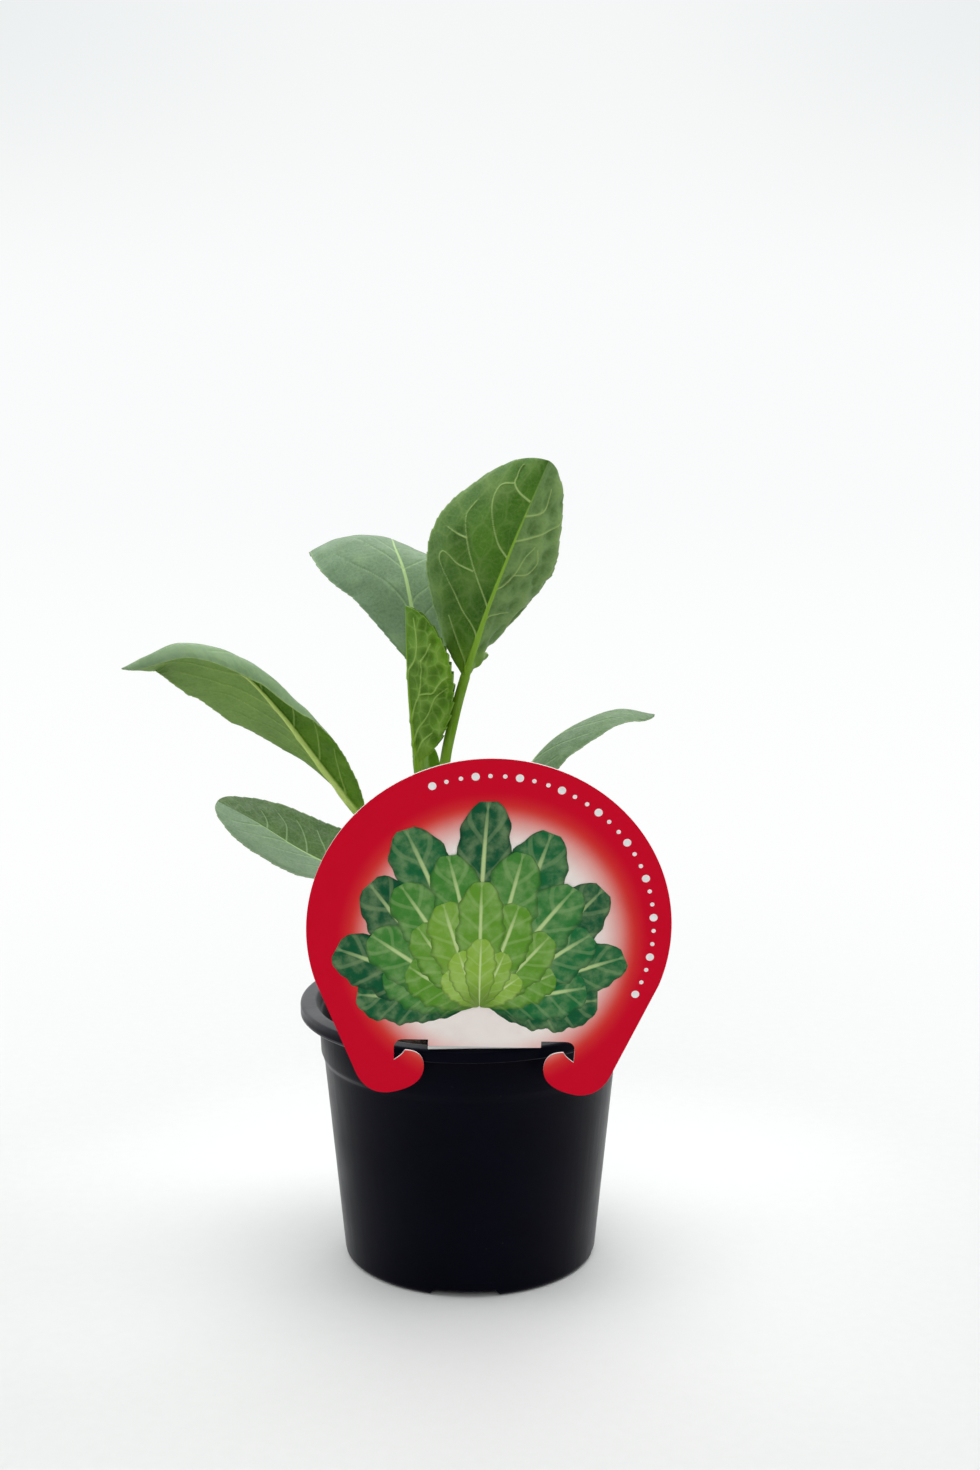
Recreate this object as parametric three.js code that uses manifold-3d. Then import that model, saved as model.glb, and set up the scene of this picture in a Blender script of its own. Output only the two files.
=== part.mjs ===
// A young cauliflower plant in a black nursery pot of compost, with a round red label clipped on the rim.
// Millimetres, +Z up. The origin is the middle of the pot's flat floor, where the pot stands.
// The label is at the front, towards -Y.
import * as THREE from 'three';
import { mergeVertices } from 'three/addons/utils/BufferGeometryUtils.js';
import Module from 'manifold-3d';

const wasm = await Module();
wasm.setup();

const RAD = Math.PI / 180;

// Clear gap between pieces that touch
const GAP = 0.3;

// Pot: a 10.5 cm nursery pot
const POT_HEIGHT = 82;
const RIM_RADIUS = 52.5;
const RIM_LIP = 4.3;
const SKIRT_DROP = 3.8;
const WALL = 0.9;
const COLLAR_RADIUS = 46.8;
const COLLAR_FLARE = 0.5;
const RIM_ROUND = 0.8;
const LIP_DEPTH = 1.2;
const LIP_FILLET = 1.4;
const SHOULDER_TOP = 66;
const SHOULDER_BOTTOM = 63.6;
const BODY_TOP_RADIUS = 45.3;
const BASE_RADIUS = 39.5;
const BASE_CORNER = 2;
const FLOOR = 1.2;
const POT_STEPS = 60;
const NOTCH_COUNT = 4;
const NOTCH_WIDTH = 22;
const NOTCH_HEIGHT = 2.2;
const NOTCH_START = 21;
const NOTCH_TURN = -2;
const PAD_FOOT = 0.6;
const PAD_INSET = 0.6;
const PAD_TOP = 5;
const DRAIN_RADIUS = 3.4;
const DRAIN_PLACE = 28;

// Compost
const COMPOST_TOP = 71;
const COMPOST_BASE = 3.8;
const COMPOST_STEPS = 48;
const COMPOST_RINGS = 7;
const COMPOST_BUMP = 1.1;

// Stem, from inside the compost up to the growing tip
const STEM_RADIUS = 3.2;
const STEM_FOOT_RADIUS = 2.7;
const STEM_PATH = [[-1.5, 0, 56], [-2.6, 0, 70], [-5, 0, 84], [-7.2, 0, 98], [-8.2, 0, 110]];

// Leaves
const BLADE_THICKNESS = 0.9;
const PETIOLE_WING = 0.35;
const RIB_TIP_RADIUS = 0.5;

// Label: a thin plastic card
const LABEL_THICKNESS = 0.5;
const LABEL_DISTANCE = 51.8;
const LABEL_OFFSET = 2.7;
const LABEL_TURN = 2.2;
const LABEL_TILT = 1.9;
const LABEL_LEAN = 8.4;
const LABEL_FOOT = POT_HEIGHT + 0.4;
const DISC_RADIUS = 51.7;
const DISC_CENTRE = 37.4;
const DISC_END = -18;
const TONGUE_HALF = 16.3;
const TAB_HALF = 15;
const TAB_DEPTH = 11;
const TAB_FOOT = 8.5;

const colours = {
  pot: 0x0b0c12, compost: 0x2a1d14, stem: 0x7d9a4a, label: 0xc30a26, bright: 0x5d8a2a,
  grey: 0x6d8a72, young: 0x6f9a22,
};

function material(colour, roughness) {
  return new THREE.MeshStandardMaterial({ color: colour, roughness, metalness: 0 });
}

function mesh(name, geometry, colour, roughness) {
  const piece = new THREE.Mesh(geometry, material(colour, roughness));
  piece.name = name;
  return piece;
}

// Joining and cutting
function solid(geometry) {
  const merged = mergeVertices(bareCopy(geometry), 1e-4);
  const index = merged.index.array;
  const place = merged.attributes.position.array;
  return new wasm.Manifold(new wasm.Mesh({
    numProp: 3,
    vertProperties: new Float32Array(place),
    triVerts: new Uint32Array(index),
  }));
}

function geometryOf(manifold) {
  const m = manifold.getMesh();
  const geometry = new THREE.BufferGeometry();
  geometry.setAttribute('position', new THREE.BufferAttribute(new Float32Array(m.vertProperties), 3));
  geometry.setIndex(new THREE.BufferAttribute(new Uint32Array(m.triVerts), 1));
  geometry.computeVertexNormals();
  return geometry;
}

// A smooth curve through a list of numbers or points; t runs from 0 to the last item
function along(list, t) {
  const last = list.length - 1;
  const at = Math.min(Math.max(t, 0), last);
  const i = Math.min(Math.floor(at), last - 1);
  const f = at - i;
  const mirror = (a, b) => a.map((v, k) => 2 * v - b[k]);
  const points = typeof list[0] === 'number' ? list.map((v) => [v]) : list;
  const p1 = points[i];
  const p2 = points[i + 1];
  const p0 = i > 0 ? points[i - 1] : mirror(p1, p2);
  const p3 = i < last - 1 ? points[i + 2] : mirror(p2, p1);
  const value = p1.map((v, k) => 0.5 * (2 * v + (p2[k] - p0[k]) * f
    + (2 * p0[k] - 5 * v + 4 * p2[k] - p3[k]) * f * f
    + (3 * v - p0[k] - 3 * p2[k] + p3[k]) * f * f * f));
  return typeof list[0] === 'number' ? value[0] : value;
}

// A closed skin over rows of points; every row has the same number of points and runs round the shape.
// Each end is closed by joining the two halves of its row.
function skin(rows) {
  const count = rows[0].length;
  const place = [];
  const index = [];
  for (const row of rows) {
    for (const p of row) place.push(p.x, p.y, p.z);
  }
  for (let r = 0; r < rows.length - 1; r += 1) {
    for (let c = 0; c < count; c += 1) {
      const a = r * count + c;
      const b = r * count + ((c + 1) % count);
      index.push(a, b, b + count, a, b + count, a + count);
    }
  }
  const close = (start, flip) => {
    for (let c = 0; c < count / 2 - 1; c += 1) {
      const a = start + c;
      const b = start + c + 1;
      const d = start + count - 1 - c;
      const e = start + count - 2 - c;
      if (flip) index.push(a, b, e, a, e, d);
      else index.push(a, e, b, a, d, e);
    }
  };
  close(0, false);
  close((rows.length - 1) * count, true);
  const geometry = new THREE.BufferGeometry();
  geometry.setAttribute('position', new THREE.Float32BufferAttribute(place, 3));
  geometry.setIndex(index);
  geometry.computeVertexNormals();
  return geometry;
}

// A turned shape about Z from a closed profile of [radius, height]
function turned(profile, steps) {
  const points = profile.map(([r, z]) => new THREE.Vector2(r, z));
  const geometry = new THREE.LatheGeometry(points, steps);
  geometry.rotateX(Math.PI / 2);
  return geometry;
}

function wallRadius(z) {
  const k = (z - BASE_CORNER) / (SHOULDER_BOTTOM - BASE_CORNER);
  return BASE_RADIUS + (BODY_TOP_RADIUS - BASE_RADIUS) * k;
}

// The pot
function cornerArc(radius, centreR, centreZ, fromDeg, toDeg, count) {
  const points = [];
  for (let i = 0; i <= count; i += 1) {
    const a = (fromDeg + ((toDeg - fromDeg) * i) / count) * RAD;
    points.push([centreR + radius * Math.cos(a), centreZ + radius * Math.sin(a)]);
  }
  return points;
}

function potOutline() {
  const skirtBottom = POT_HEIGHT - SKIRT_DROP;
  return [
    [0, 0],
    ...cornerArc(BASE_CORNER, BASE_RADIUS - BASE_CORNER, BASE_CORNER, -90, 0, 3),
    [BODY_TOP_RADIUS, SHOULDER_BOTTOM],
    [COLLAR_RADIUS - COLLAR_FLARE, SHOULDER_TOP],
    [COLLAR_RADIUS, POT_HEIGHT - LIP_DEPTH - LIP_FILLET],
    [COLLAR_RADIUS + LIP_FILLET / 2, POT_HEIGHT - LIP_DEPTH],
    [RIM_RADIUS - LIP_FILLET, POT_HEIGHT - LIP_DEPTH],
    [RIM_RADIUS - WALL, skirtBottom],
    [RIM_RADIUS, skirtBottom],
    ...cornerArc(RIM_ROUND, RIM_RADIUS - RIM_ROUND, POT_HEIGHT - RIM_ROUND, 0, 90, 2),
    [RIM_RADIUS - RIM_LIP, POT_HEIGHT],
    [COLLAR_RADIUS - WALL + COLLAR_FLARE, POT_HEIGHT - 2 * WALL],
    [COLLAR_RADIUS - WALL, POT_HEIGHT - SKIRT_DROP],
    [COLLAR_RADIUS - COLLAR_FLARE - WALL, SHOULDER_TOP],
    [BODY_TOP_RADIUS - WALL, SHOULDER_BOTTOM],
    [wallRadius(FLOOR + 1) - WALL, FLOOR + 1],
    [wallRadius(FLOOR + 1) - WALL - 1, FLOOR],
    [0, FLOOR],
  ];
}

function block(x0, x1, y0, y1, z0, z1) {
  const box = new THREE.BoxGeometry(x1 - x0, y1 - y0, z1 - z0);
  box.translate((x0 + x1) / 2, (y0 + y1) / 2, (z0 + z1) / 2);
  return box;
}

function pot() {
  let body = solid(turned(potOutline(), POT_STEPS));
  const envelope = solid(turned([
    [0, PAD_FOOT / 2],
    [BASE_RADIUS - PAD_INSET, PAD_FOOT / 2],
    [BASE_RADIUS - PAD_INSET / 2, PAD_TOP],
    [0, PAD_TOP],
  ], POT_STEPS));
  const raised = NOTCH_HEIGHT + FLOOR;
  const half = NOTCH_WIDTH / 2;
  for (let i = 0; i < NOTCH_COUNT; i += 1) {
    const turn = (geometry) => geometry.rotateZ((-90 + NOTCH_TURN + (360 / NOTCH_COUNT) * i) * RAD);
    const pad = turn(block(NOTCH_START - WALL, BASE_RADIUS, -half - WALL, half + WALL, PAD_FOOT, raised));
    body = body.add(solid(pad).intersect(envelope));
    const channel = turn(block(NOTCH_START, BASE_RADIUS + 4, -half, half, -1, NOTCH_HEIGHT));
    body = body.subtract(solid(channel));
    const hole = new THREE.CylinderGeometry(DRAIN_RADIUS, DRAIN_RADIUS, 8, 16);
    hole.rotateX(Math.PI / 2);
    hole.translate(DRAIN_PLACE, 0, 3);
    body = body.subtract(solid(turn(hole)));
  }
  return geometryOf(body);
}

// The compost, filled to a finger's width below the rim, with a crumbly top and a hole for the stem
function compost() {
  const inner = (z) => wallRadius(z) - WALL - 0.4;
  const outline = [
    [0, COMPOST_BASE],
    [inner(COMPOST_BASE) - 0.4, COMPOST_BASE],
    [inner(SHOULDER_BOTTOM), SHOULDER_BOTTOM],
    [COLLAR_RADIUS - 0.5 - WALL - 0.5, SHOULDER_TOP],
    [COLLAR_RADIUS - WALL - 0.6, COMPOST_TOP - 0.6],
  ];
  const last = outline[outline.length - 1][0];
  for (let i = 1; i <= COMPOST_RINGS; i += 1) {
    outline.push([last * (1 - i / COMPOST_RINGS), COMPOST_TOP]);
  }
  const geometry = mergeVertices(bareCopy(turned(outline, COMPOST_STEPS)), 1e-4);
  const place = geometry.attributes.position;
  for (let i = 0; i < place.count; i += 1) {
    const x = place.getX(i);
    const y = place.getY(i);
    if (place.getZ(i) > COMPOST_TOP - 0.1) {
      const lump = Math.sin(x * 0.43 + 1.3) * Math.cos(y * 0.51) + 0.6 * Math.sin((x - y) * 0.29);
      place.setZ(i, COMPOST_TOP + COMPOST_BUMP * lump * 0.6);
    }
  }
  return geometryOf(solid(geometry).subtract(stemSolid(GAP)));
}

function bareCopy(geometry) {
  const bare = geometry.clone();
  bare.deleteAttribute('normal');
  bare.deleteAttribute('uv');
  return bare;
}

// The stem
function stemRows(extra) {
  const rows = [];
  const steps = 14;
  const sides = 14;
  for (let i = 0; i <= steps; i += 1) {
    const k = i / steps;
    const centre = along(STEM_PATH, k * (STEM_PATH.length - 1));
    const dome = k > 0.93 ? 0.7 : 1;
    const foot = extra > 0 && i === 0 ? -extra : 0;
    const top = extra > 0 && i === steps ? extra : 0;
    const radius = (STEM_FOOT_RADIUS + (STEM_RADIUS - STEM_FOOT_RADIUS) * k) * dome + extra;
    const row = [];
    for (let j = 0; j < sides; j += 1) {
      const a = (j / sides) * 2 * Math.PI;
      row.push(new THREE.Vector3(
        centre[0] + radius * Math.cos(a),
        centre[1] + radius * Math.sin(a),
        centre[2] + foot + top,
      ));
    }
    rows.push(row);
  }
  return rows;
}

function stemSolid(extra) {
  return solid(skin(stemRows(extra)));
}

// A leaf: a stalk that runs on as the midrib, with a blade on each side.
// rib: points from the stem to the tip. bladeFrom: where on the rib the blade begins.
// heading: the way the leaf grows, in degrees from +X. roll: twist about the rib from blade base to tip.
// Each side has its half width, where that is widest (0 base, 1 tip), how blunt its ends are, its lift
// above the flat from blade base to tip, and how much it curls between rib and margin. Where a side has a
// sweep, its margin leans on towards the tip by that share of the half width.
const leaves = [
  {
    name: 'tall_leaf', colour: 'bright', petiole: 1.55, middle: 1.4,
    rib: [[-5.7, -2.6, 101], [-8, -8, 146.5], [-4.3, -12, 172.5], [3.7, -16, 200], [12.3, -19, 223],
      [23.4, -15, 248.7]],
    bladeFrom: 2.45, heading: -90, roll: [-12, -2, -2],
    right: { width: 26.5, widest: 0.6, blunt: 0.5, lift: [26, 11, 26], curl: [35, 33] },
    left: { width: 17.6, widest: 0.48, blunt: 0.47, lift: [45, 21, 38], curl: [33, 14] },
  },
  {
    name: 'back_leaf', colour: 'grey', petiole: 1.9, middle: 1.5,
    rib: [[-7.2, 3.2, 102], [-15, 12, 154.4], [-15.8, 21, 183.2], [-19.7, 30, 207.1],
      [-24.1, 45, 217], [-27, 65, 217.5], [-34, 82, 207]],
    bladeFrom: 1.9, heading: 95, roll: [-2, 2, -15, 4],
    right: { width: 24, widest: 0.52, blunt: 0.56, lift: [10, -7, 0], curl: [2, -22] },
    left: { width: 28, widest: 0.66, blunt: 0.45, lift: [11, 5, 0], curl: [-16, -75] },
  },
  {
    name: 'young_leaf', colour: 'young', petiole: 1.6, middle: 1.2,
    rib: [[-9.8, -2.3, 106], [-13.6, -8, 138.5], [-15.9, -11, 161], [-17.4, -13.2, 177.5],
      [-18.1, -14.8, 191], [-18.4, -16, 206.3]],
    bladeFrom: 1.9, heading: 180, roll: [0, -1, 0],
    right: { width: 14, widest: 0.45, blunt: 0.6, lift: [68, 68, 68], curl: [10, 10] },
    left: { width: 14.7, widest: 0.5, blunt: 0.6, lift: [60, 60, 60], curl: [11, 10] },
  },
  {
    name: 'arching_leaf', colour: 'bright', petiole: 1.9, middle: 1.6,
    rib: [[-10.4, -0.8, 95], [-20.8, -4, 128], [-33.2, -6, 142], [-46.3, -9, 159.8],
      [-56.5, -11, 174], [-68.5, -11, 186.3], [-85.5, -7, 192], [-105.4, 3, 184.7]],
    bladeFrom: 1.9, heading: 180, roll: [-18, -47, -37, 10],
    right: { width: 21.2, widest: 0.55, blunt: 0.9, lift: [5, -3, -15, -12], curl: [0, 0],
      sweep: [0.8, 0.3, 0.64, 2] },
    left: {
      width: 16.1, widest: 0.56, blunt: 0.62, lift: [30, 34, 31, 40], curl: [24, -111, -112],
      sweep: [-0.29, -0.33, -0.64, -1.1],
    },
  },
  {
    name: 'low_leaf', colour: 'grey', petiole: 1.8, middle: 1.4,
    rib: [[-8, 1.8, 86], [-24.2, 6, 113.6], [-39.3, 9, 119.5], [-53, 12, 125.7], [-66.4, 14, 133.8],
      [-79.1, 15, 140.7]],
    bladeFrom: 1.3, heading: 180, roll: [4, 5, 1],
    right: { width: 20.5, widest: 0.42, blunt: 0.45, lift: [20, 15, 7], curl: [0, 0] },
    left: { width: 19.8, widest: 0.58, blunt: 0.5, lift: [1, -4, -8], curl: [0, 0] },
  },
  {
    name: 'right_leaf', colour: 'grey', petiole: 1.7, middle: 1.3,
    rib: [[-3.4, 0.6, 92], [1.5, 6, 125.6], [12.4, 12, 143.5], [25.7, 17, 159.8], [44.3, 21, 168.5],
      [58, 24, 166.7]],
    bladeFrom: 1.6, heading: 0, roll: [-5, 1, 4],
    right: { width: 17, widest: 0.42, blunt: 0.64, lift: [-10, -4, -1], curl: [-29, -12] },
    left: { width: 16, widest: 0.5, blunt: 0.6, lift: [-10, -10, -10], curl: [-20, -20] },
  },
  {
    name: 'heart_leaf_front', colour: 'young', petiole: 1, middle: 0.8, small: true,
    rib: [[-8.4, -0.8, 110.8], [-9.6, -2.2, 130], [-11.4, -3.6, 148], [-12.4, -4.4, 163]],
    bladeFrom: 0.7, heading: -120, roll: [0, 0, 0],
    right: { width: 4, widest: 0.55, blunt: 0.5, lift: [35, 30, 35], curl: [30, 30] },
    left: { width: 4, widest: 0.55, blunt: 0.5, lift: [35, 30, 35], curl: [30, 30] },
  },
  {
    name: 'heart_leaf_back', colour: 'young', petiole: 0.9, middle: 0.7, small: true,
    rib: [[-7.2, 1, 110.8], [-6.6, 2.4, 122], [-5.6, 3.6, 134], [-5.2, 4, 143]],
    bladeFrom: 0.5, heading: 60, roll: [0, 0, 0],
    right: { width: 3.4, widest: 0.5, blunt: 0.5, lift: [40, 40, 40], curl: [30, 30] },
    left: { width: 3.4, widest: 0.5, blunt: 0.5, lift: [40, 40, 40], curl: [30, 30] },
  },
];

function leafFrame(leaf, t) {
  const last = leaf.rib.length - 1;
  const step = 1e-3;
  const at = new THREE.Vector3(...along(leaf.rib, t));
  const before = new THREE.Vector3(...along(leaf.rib, Math.max(t - step, 0)));
  const after = new THREE.Vector3(...along(leaf.rib, Math.min(t + step, last)));
  const forward = after.sub(before).normalize();
  const flat = new THREE.Vector3(Math.sin(leaf.heading * RAD), -Math.cos(leaf.heading * RAD), 0);
  const side = flat.addScaledVector(forward, -flat.dot(forward)).normalize();
  const up = new THREE.Vector3().crossVectors(side, forward);
  const s = Math.min(Math.max((t - leaf.bladeFrom) / (last - leaf.bladeFrom), 0), 1);
  const turn = along(leaf.roll, s * (leaf.roll.length - 1)) * RAD;
  const right = side.clone().multiplyScalar(Math.cos(turn)).addScaledVector(up, Math.sin(turn));
  const face = up.clone().multiplyScalar(Math.cos(turn)).addScaledVector(side, -Math.sin(turn));
  return { at, forward, right, face, s };
}

function halfWidth(part, s) {
  if (s <= 0 || s >= 1) return 0;
  const base = (part.blunt * part.widest) / (1 - part.widest);
  return part.width * (s / part.widest) ** base * ((1 - s) / (1 - part.widest)) ** part.blunt;
}

// One row of points round the leaf: the upper side from left margin to right, then the underside back
function leafRow(leaf, t) {
  const { at, forward, right, face, s } = leafFrame(leaf, t);
  const ribRadius = t < leaf.bladeFrom
    ? leaf.petiole + ((leaf.middle - leaf.petiole) * t) / leaf.bladeFrom
    : leaf.middle + (RIB_TIP_RADIUS - leaf.middle) * s;
  const least = ribRadius + PETIOLE_WING;
  const ease = Math.min(t / leaf.bladeFrom, 1) ** 3;
  const upper = [];
  const under = [];
  for (const across of [-1, -0.72, -0.42, -0.18, 0, 0.18, 0.42, 0.72, 1]) {
    const sign = across < 0 ? -1 : 1;
    const part = across < 0 ? leaf.left : leaf.right;
    const u = Math.abs(across);
    const width = Math.max(halfWidth(part, s), least);
    const lift = along(part.lift, s * (part.lift.length - 1)) * RAD * ease;
    const curl = along(part.curl, s * (part.curl.length - 1)) * RAD * ease;
    const bend = Math.abs(curl) < 1e-3 ? 1e-3 : curl;
    const angle = lift + bend * u;
    const out = (width * (Math.sin(angle) - Math.sin(lift))) / bend;
    const rise = (width * (Math.cos(lift) - Math.cos(angle))) / bend;
    const sweep = part.sweep ? along(part.sweep, s * (part.sweep.length - 1)) : 0;
    const lean = sweep * halfWidth(part, s) * u ** 1.5;
    const middle = at.clone()
      .addScaledVector(right, sign * out)
      .addScaledVector(face, rise)
      .addScaledVector(forward, lean);
    const normal = face.clone().multiplyScalar(Math.cos(angle))
      .addScaledVector(right, -sign * Math.sin(angle));
    const round = Math.sqrt(Math.max(ribRadius ** 2 - (u * width) ** 2, 0));
    const thin = BLADE_THICKNESS / 2;
    upper.push(middle.clone().addScaledVector(normal, Math.max(thin, 0.5 * round)));
    under.push(middle.clone().addScaledVector(normal, -Math.max(thin, round)));
  }
  return [...upper, ...under.reverse()];
}

function leafBody(leaf) {
  const last = leaf.rib.length - 1;
  const stalkSteps = leaf.small ? 3 : 6;
  const bladeSteps = leaf.small ? 9 : 18;
  const rows = [];
  for (let i = 0; i < stalkSteps; i += 1) rows.push(leafRow(leaf, (leaf.bladeFrom * i) / stalkSteps));
  for (let i = 0; i <= bladeSteps; i += 1) {
    const s = 0.5 - 0.5 * Math.cos((Math.PI * i) / bladeSteps);
    rows.push(leafRow(leaf, leaf.bladeFrom + (last - leaf.bladeFrom) * s));
  }
  return geometryOf(solid(skin(rows)).subtract(stemSolid(GAP)));
}

// The label: a disc with a hook each side of a tongue. The hooks hang outside the rim, and the tongue
// folds back over the rim and down inside the pot.
const HOOK = {
  side: [36.7, -8.4],
  sideBend: [33.3, -15.3],
  foot: [26.6, -14.2],
  footBend: [17.7, -12.3],
  nose: [17.3, -6.3],
  noseBend: [17.2, -0.6],
  noseTop: [22.9, -0.6],
  notchBend: [23.4, -1.9],
  notch: [26, -3.8],
  slotTop: 2.9,
  slotSide: 26.1,
  slotCorner: 3,
};

function labelShape() {
  const end = DISC_END * RAD;
  const shape = new THREE.Shape();
  const h = HOOK;
  shape.moveTo(DISC_RADIUS * Math.cos(end), DISC_CENTRE + DISC_RADIUS * Math.sin(end));
  shape.absarc(0, DISC_CENTRE, DISC_RADIUS, end, Math.PI - end, false);
  shape.lineTo(-h.side[0], h.side[1]);
  shape.quadraticCurveTo(-h.sideBend[0], h.sideBend[1], -h.foot[0], h.foot[1]);
  shape.quadraticCurveTo(-h.footBend[0], h.footBend[1], -h.nose[0], h.nose[1]);
  shape.quadraticCurveTo(-h.noseBend[0], h.noseBend[1], -h.noseTop[0], h.noseTop[1]);
  shape.quadraticCurveTo(-h.notchBend[0], h.notchBend[1], -h.notch[0], h.notch[1]);
  shape.lineTo(-h.slotSide, h.slotTop - h.slotCorner);
  shape.quadraticCurveTo(-h.slotSide, h.slotTop, -h.slotSide + h.slotCorner, h.slotTop);
  shape.lineTo(h.slotSide - h.slotCorner, h.slotTop);
  shape.quadraticCurveTo(h.slotSide, h.slotTop, h.slotSide, h.slotTop - h.slotCorner);
  shape.lineTo(h.notch[0], h.notch[1]);
  shape.quadraticCurveTo(h.notchBend[0], h.notchBend[1], h.noseTop[0], h.noseTop[1]);
  shape.quadraticCurveTo(h.noseBend[0], h.noseBend[1], h.nose[0], h.nose[1]);
  shape.quadraticCurveTo(h.footBend[0], h.footBend[1], h.foot[0], h.foot[1]);
  shape.quadraticCurveTo(h.sideBend[0], h.sideBend[1], h.side[0], h.side[1]);
  shape.closePath();
  return shape;
}

// The tongue and its tab, seen from the side: down to the rim, back over it, and down inside
function tabGeometry() {
  const t = LABEL_THICKNESS;
  const top = HOOK.slotTop + 2;
  const forward = top * Math.tan(LABEL_LEAN * RAD);
  const side = new THREE.Shape();
  side.moveTo(-forward, top);
  side.lineTo(0, 0);
  side.lineTo(TAB_DEPTH - t, 0);
  side.lineTo(TAB_DEPTH - t, -TAB_FOOT);
  side.lineTo(TAB_DEPTH, -TAB_FOOT);
  side.lineTo(TAB_DEPTH, t);
  side.lineTo(t, t);
  side.lineTo(t - forward, top);
  side.closePath();
  const geometry = new THREE.ExtrudeGeometry(side, { depth: 2 * TONGUE_HALF, bevelEnabled: false });
  geometry.rotateX(Math.PI / 2);
  geometry.rotateZ(Math.PI / 2);
  geometry.translate(LABEL_OFFSET - TONGUE_HALF, 0, 0);
  return geometry;
}

function labelBody() {
  const flat = new THREE.ExtrudeGeometry(labelShape(), {
    depth: LABEL_THICKNESS, bevelEnabled: false, curveSegments: 10,
  });
  flat.rotateX(Math.PI / 2);
  flat.translate(LABEL_OFFSET, LABEL_THICKNESS, 0);
  flat.rotateY(LABEL_TILT * RAD);
  flat.rotateX(LABEL_LEAN * RAD);
  let tab = solid(tabGeometry());
  const trimWidth = TONGUE_HALF - TAB_HALF;
  for (const sign of [-1, 1]) {
    const inner = LABEL_OFFSET + sign * TAB_HALF;
    const outer = LABEL_OFFSET + sign * (TAB_HALF + trimWidth + 1);
    const trim = block(
      Math.min(inner, outer), Math.max(inner, outer), 1.5, TAB_DEPTH + 1, -TAB_FOOT - 1, 1.5,
    );
    tab = tab.subtract(solid(trim));
  }
  return geometryOf(solid(flat).add(tab));
}

function label() {
  const piece = mesh('plant_label', labelBody(), colours.label, 0.35);
  const turn = LABEL_TURN * RAD;
  piece.position.set(
    LABEL_DISTANCE * Math.sin(turn),
    -LABEL_DISTANCE * Math.cos(turn),
    LABEL_FOOT,
  );
  piece.rotation.z = turn;
  return piece;
}

// The whole plant
const plant = new THREE.Group();
plant.add(mesh('pot', pot(), colours.pot, 0.45));
plant.add(mesh('compost', compost(), colours.compost, 0.95));
plant.add(mesh('stem', skin(stemRows(0)), colours.stem, 0.6));
for (const leaf of leaves) {
  plant.add(mesh(leaf.name, leafBody(leaf), colours[leaf.colour], 0.55));
}
plant.add(label());

export default plant;
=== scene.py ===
"""A young cauliflower plant in a black nursery pot, with a round red label clipped on the rim.

The pieces are made at their real size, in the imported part's frame: metres, +Z up, the label towards -Y.
Sizes below are in millimetres and are turned into metres as each mesh is made.
"""

import math

import bmesh
import bpy
import numpy as np
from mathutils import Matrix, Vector, noise


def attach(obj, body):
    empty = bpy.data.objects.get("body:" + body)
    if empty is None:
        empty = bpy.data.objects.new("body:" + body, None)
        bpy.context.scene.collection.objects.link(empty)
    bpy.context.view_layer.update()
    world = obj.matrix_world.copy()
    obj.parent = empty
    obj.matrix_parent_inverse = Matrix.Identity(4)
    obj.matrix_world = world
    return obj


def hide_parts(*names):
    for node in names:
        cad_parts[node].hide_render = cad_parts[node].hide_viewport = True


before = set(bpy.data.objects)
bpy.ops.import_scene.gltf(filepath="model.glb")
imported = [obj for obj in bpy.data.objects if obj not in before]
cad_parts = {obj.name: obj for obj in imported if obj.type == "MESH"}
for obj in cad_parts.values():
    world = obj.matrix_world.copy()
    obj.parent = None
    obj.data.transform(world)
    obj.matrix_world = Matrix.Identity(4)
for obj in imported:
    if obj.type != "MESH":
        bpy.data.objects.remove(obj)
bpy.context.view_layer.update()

MM = 0.001
RAD = math.pi / 180

# Camera: standing in front of the pot and looking a little down
CAMERA_PLACE = (0.0063, -0.659, 0.290)
CAMERA_DOWN = 10.76
CAMERA_LENS = 54.0
SENSOR = 36.0


def add_camera():
    bpy.ops.object.camera_add(location=CAMERA_PLACE, rotation=((90 - CAMERA_DOWN) * RAD, 0, 0))
    camera = bpy.context.object
    camera.data.lens = CAMERA_LENS
    camera.data.sensor_width = SENSOR
    camera.data.clip_start = 0.01
    bpy.context.scene.camera = camera


# Small helpers for meshes


def deselect():
    if bpy.context.mode != "OBJECT":
        bpy.ops.object.mode_set(mode="OBJECT")
    bpy.ops.object.select_all(action="DESELECT")


def place_vertices(piece, points):
    """Moves every vertex of the piece; points are in millimetres."""
    piece.data.vertices.foreach_set("co", (np.asarray(points, float) * MM).ravel())
    piece.data.update()


def vertices_of(piece):
    points = np.empty(len(piece.data.vertices) * 3)
    piece.data.vertices.foreach_get("co", points)
    return points.reshape(-1, 3) / MM


def smooth(piece, angle=None):
    deselect()
    piece.select_set(True)
    bpy.context.view_layer.objects.active = piece
    if angle is None:
        bpy.ops.object.shade_smooth()
    else:
        bpy.ops.object.shade_smooth_by_angle(angle=angle * RAD)
    deselect()


def edit(piece, *steps):
    """Runs edit-mode steps on the whole piece."""
    deselect()
    piece.select_set(True)
    bpy.context.view_layer.objects.active = piece
    bpy.ops.object.mode_set(mode="EDIT")
    bpy.ops.mesh.select_all(action="SELECT")
    for step in steps:
        step()
    bpy.ops.object.mode_set(mode="OBJECT")
    deselect()


def outward():
    bpy.ops.mesh.normals_make_consistent(inside=False)


def merge(distance=1e-6):
    bpy.ops.mesh.remove_doubles(threshold=distance)


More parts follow.
